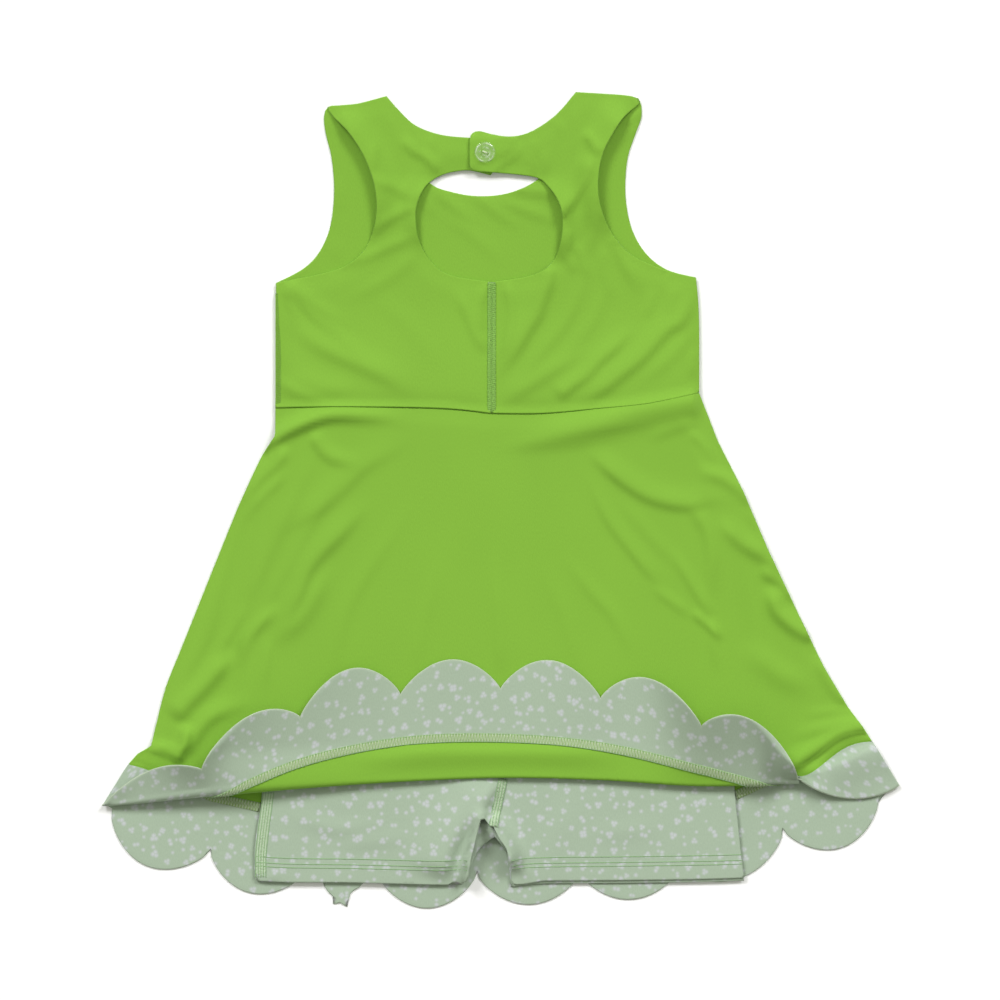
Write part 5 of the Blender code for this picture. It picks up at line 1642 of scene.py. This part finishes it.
def makeButton():
    x, y = button["centre"]
    inside = np.array([[20.0]])  # far from the tab's edges
    under = tabMiddle(np.array([[x]]), np.array([[y]]), inside)
    base = float(under[0, 0]) + cloth["wall"] / 2 + button["clear"]
    piece = turnedDisc(x, y, base)
    slant, reach = math.radians(button["turn"]), button["holeOffset"]
    for side in (-1, 1):
        cutHole(piece, x + side * reach * math.cos(slant), y + side * reach * math.sin(slant), base)
    angle = math.radians(button["bevelAngle"])
    soften = piece.modifiers.new("soften", "BEVEL")
    soften.width = button["bevel"] * mm
    soften.segments = 2
    soften.angle_limit = angle
    bpy.ops.object.modifier_apply(modifier=soften.name)
    bpy.ops.object.shade_smooth_by_angle(angle=angle)
    piece.data.materials.clear()
    piece.data.materials.append(resinFinish())
    standIn(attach(piece, "root"), "button")
    ways = np.linspace(-1, 1, button["threadPoints"])
    along = ways * (reach + button["threadReach"])
    height = base + button["threadTop"] - button["threadDrop"] * np.abs(ways) ** 7
    runs = []
    for shift in button["threads"]:
        threadX = x + along * math.cos(slant) - shift * math.sin(slant)
        threadY = y + along * math.sin(slant) + shift * math.cos(slant)
        runs.append(np.stack([threadX, threadY, height], axis=1))
    finish = spunThread("buttonThread", "cfe0b4")
    tubeMesh("buttonThread", runs, button["threadRadius"], finish, sides=6)


# Floor, light and camera

studio = {
    "span": 0.6,  # width of the picture at the cloth, in metres
    "distance": 3.0,
    "farthest": 20.0,
    "centre": (-0.0003, 0.0),
    "floor": "fafaf8",
    "floorSize": 6.0,
    "fibres": 0.0025,
    "fibreTone": (0.985, 1.0),
    "world": 0.28,
    "worldTint": (1.0, 1.0, 0.86, 1.0),  # shade takes on some of the cloth's yellow green
    "sunTint": (0.96, 0.96, 1.0),
    "lights": {
        "leftKey": {"kind": "SUN", "place": (-1.25, 1.6, 1.8), "energy": 1.84, "spread": 0.35},
        "rightKey": {"kind": "SUN", "place": (1.2, 1.6, 1.8), "energy": 1.66, "spread": 0.35},
        "fill": {"kind": "AREA", "place": (0.1, 0.1, 2.2), "energy": 9.4, "spread": 2.4},
    },
}


def makeFloor():
    bpy.ops.mesh.primitive_plane_add(size=studio["floorSize"], location=(0, 0, 0))
    floor = bpy.context.object
    floor.name = "floor"
    finish, tree, shader = newFinish("matPaper", {"Roughness": 0.9, "Specular IOR Level": 0.1})
    fibres = noise(tree, onObject(tree), studio["fibres"], 2.0)
    tone = ranged(tree, fibres, 0.0, 1.0, *studio["fibreTone"])
    dyed(tree, shader, evenColour(tree, studio["floor"]), tone)
    floor.data.materials.append(finish)


def makeLight(name, own):
    light = bpy.data.lights.new(name, own["kind"])
    light.energy = own["energy"]
    if own["kind"] == "SUN":
        light.angle = own["spread"]
        light.color = studio["sunTint"]
    else:
        light.shape = "DISK"
        light.size = own["spread"]
    lamp = bpy.data.objects.new(name, light)
    lamp.location = own["place"]
    lamp.rotation_mode = "QUATERNION"
    lamp.rotation_quaternion = (-lamp.location).to_track_quat("-Z", "Y")
    bpy.context.scene.collection.objects.link(lamp)


def makeStudio():
    scene = bpy.context.scene
    makeFloor()
    world = bpy.data.worlds.new("softRoom")
    scene.world = world
    world.use_nodes = True
    background = world.node_tree.nodes["Background"]
    background.inputs[0].default_value = studio["worldTint"]
    background.inputs[1].default_value = studio["world"]
    for name, own in studio["lights"].items():
        makeLight(name, own)
    camera = bpy.data.cameras.new("camera")
    camera.lens = camera.sensor_width * studio["distance"] / studio["span"]
    camera.clip_end = studio["farthest"]
    eye = bpy.data.objects.new("camera", camera)
    eye.location = (*studio["centre"], studio["distance"])
    scene.collection.objects.link(eye)
    scene.camera = eye
    scene.view_settings.view_transform = "Standard"


print("studio")
makeStudio()
print("front panels")
makeFrontBodice()
makeFrontSkirt()
makeFrontBorder()
makeFrontSeamStrips()
print("shorts")
makeShorts()
makeShortsSewing()
print("back skirt and its folded border")
backBorder = makeBackSkirt()
seamPieces = makeBackSeamStrip()
makeSeamThreads()
print("back bodice")
makeBackBodice()
makeTapes()
print("button")
makeButton()
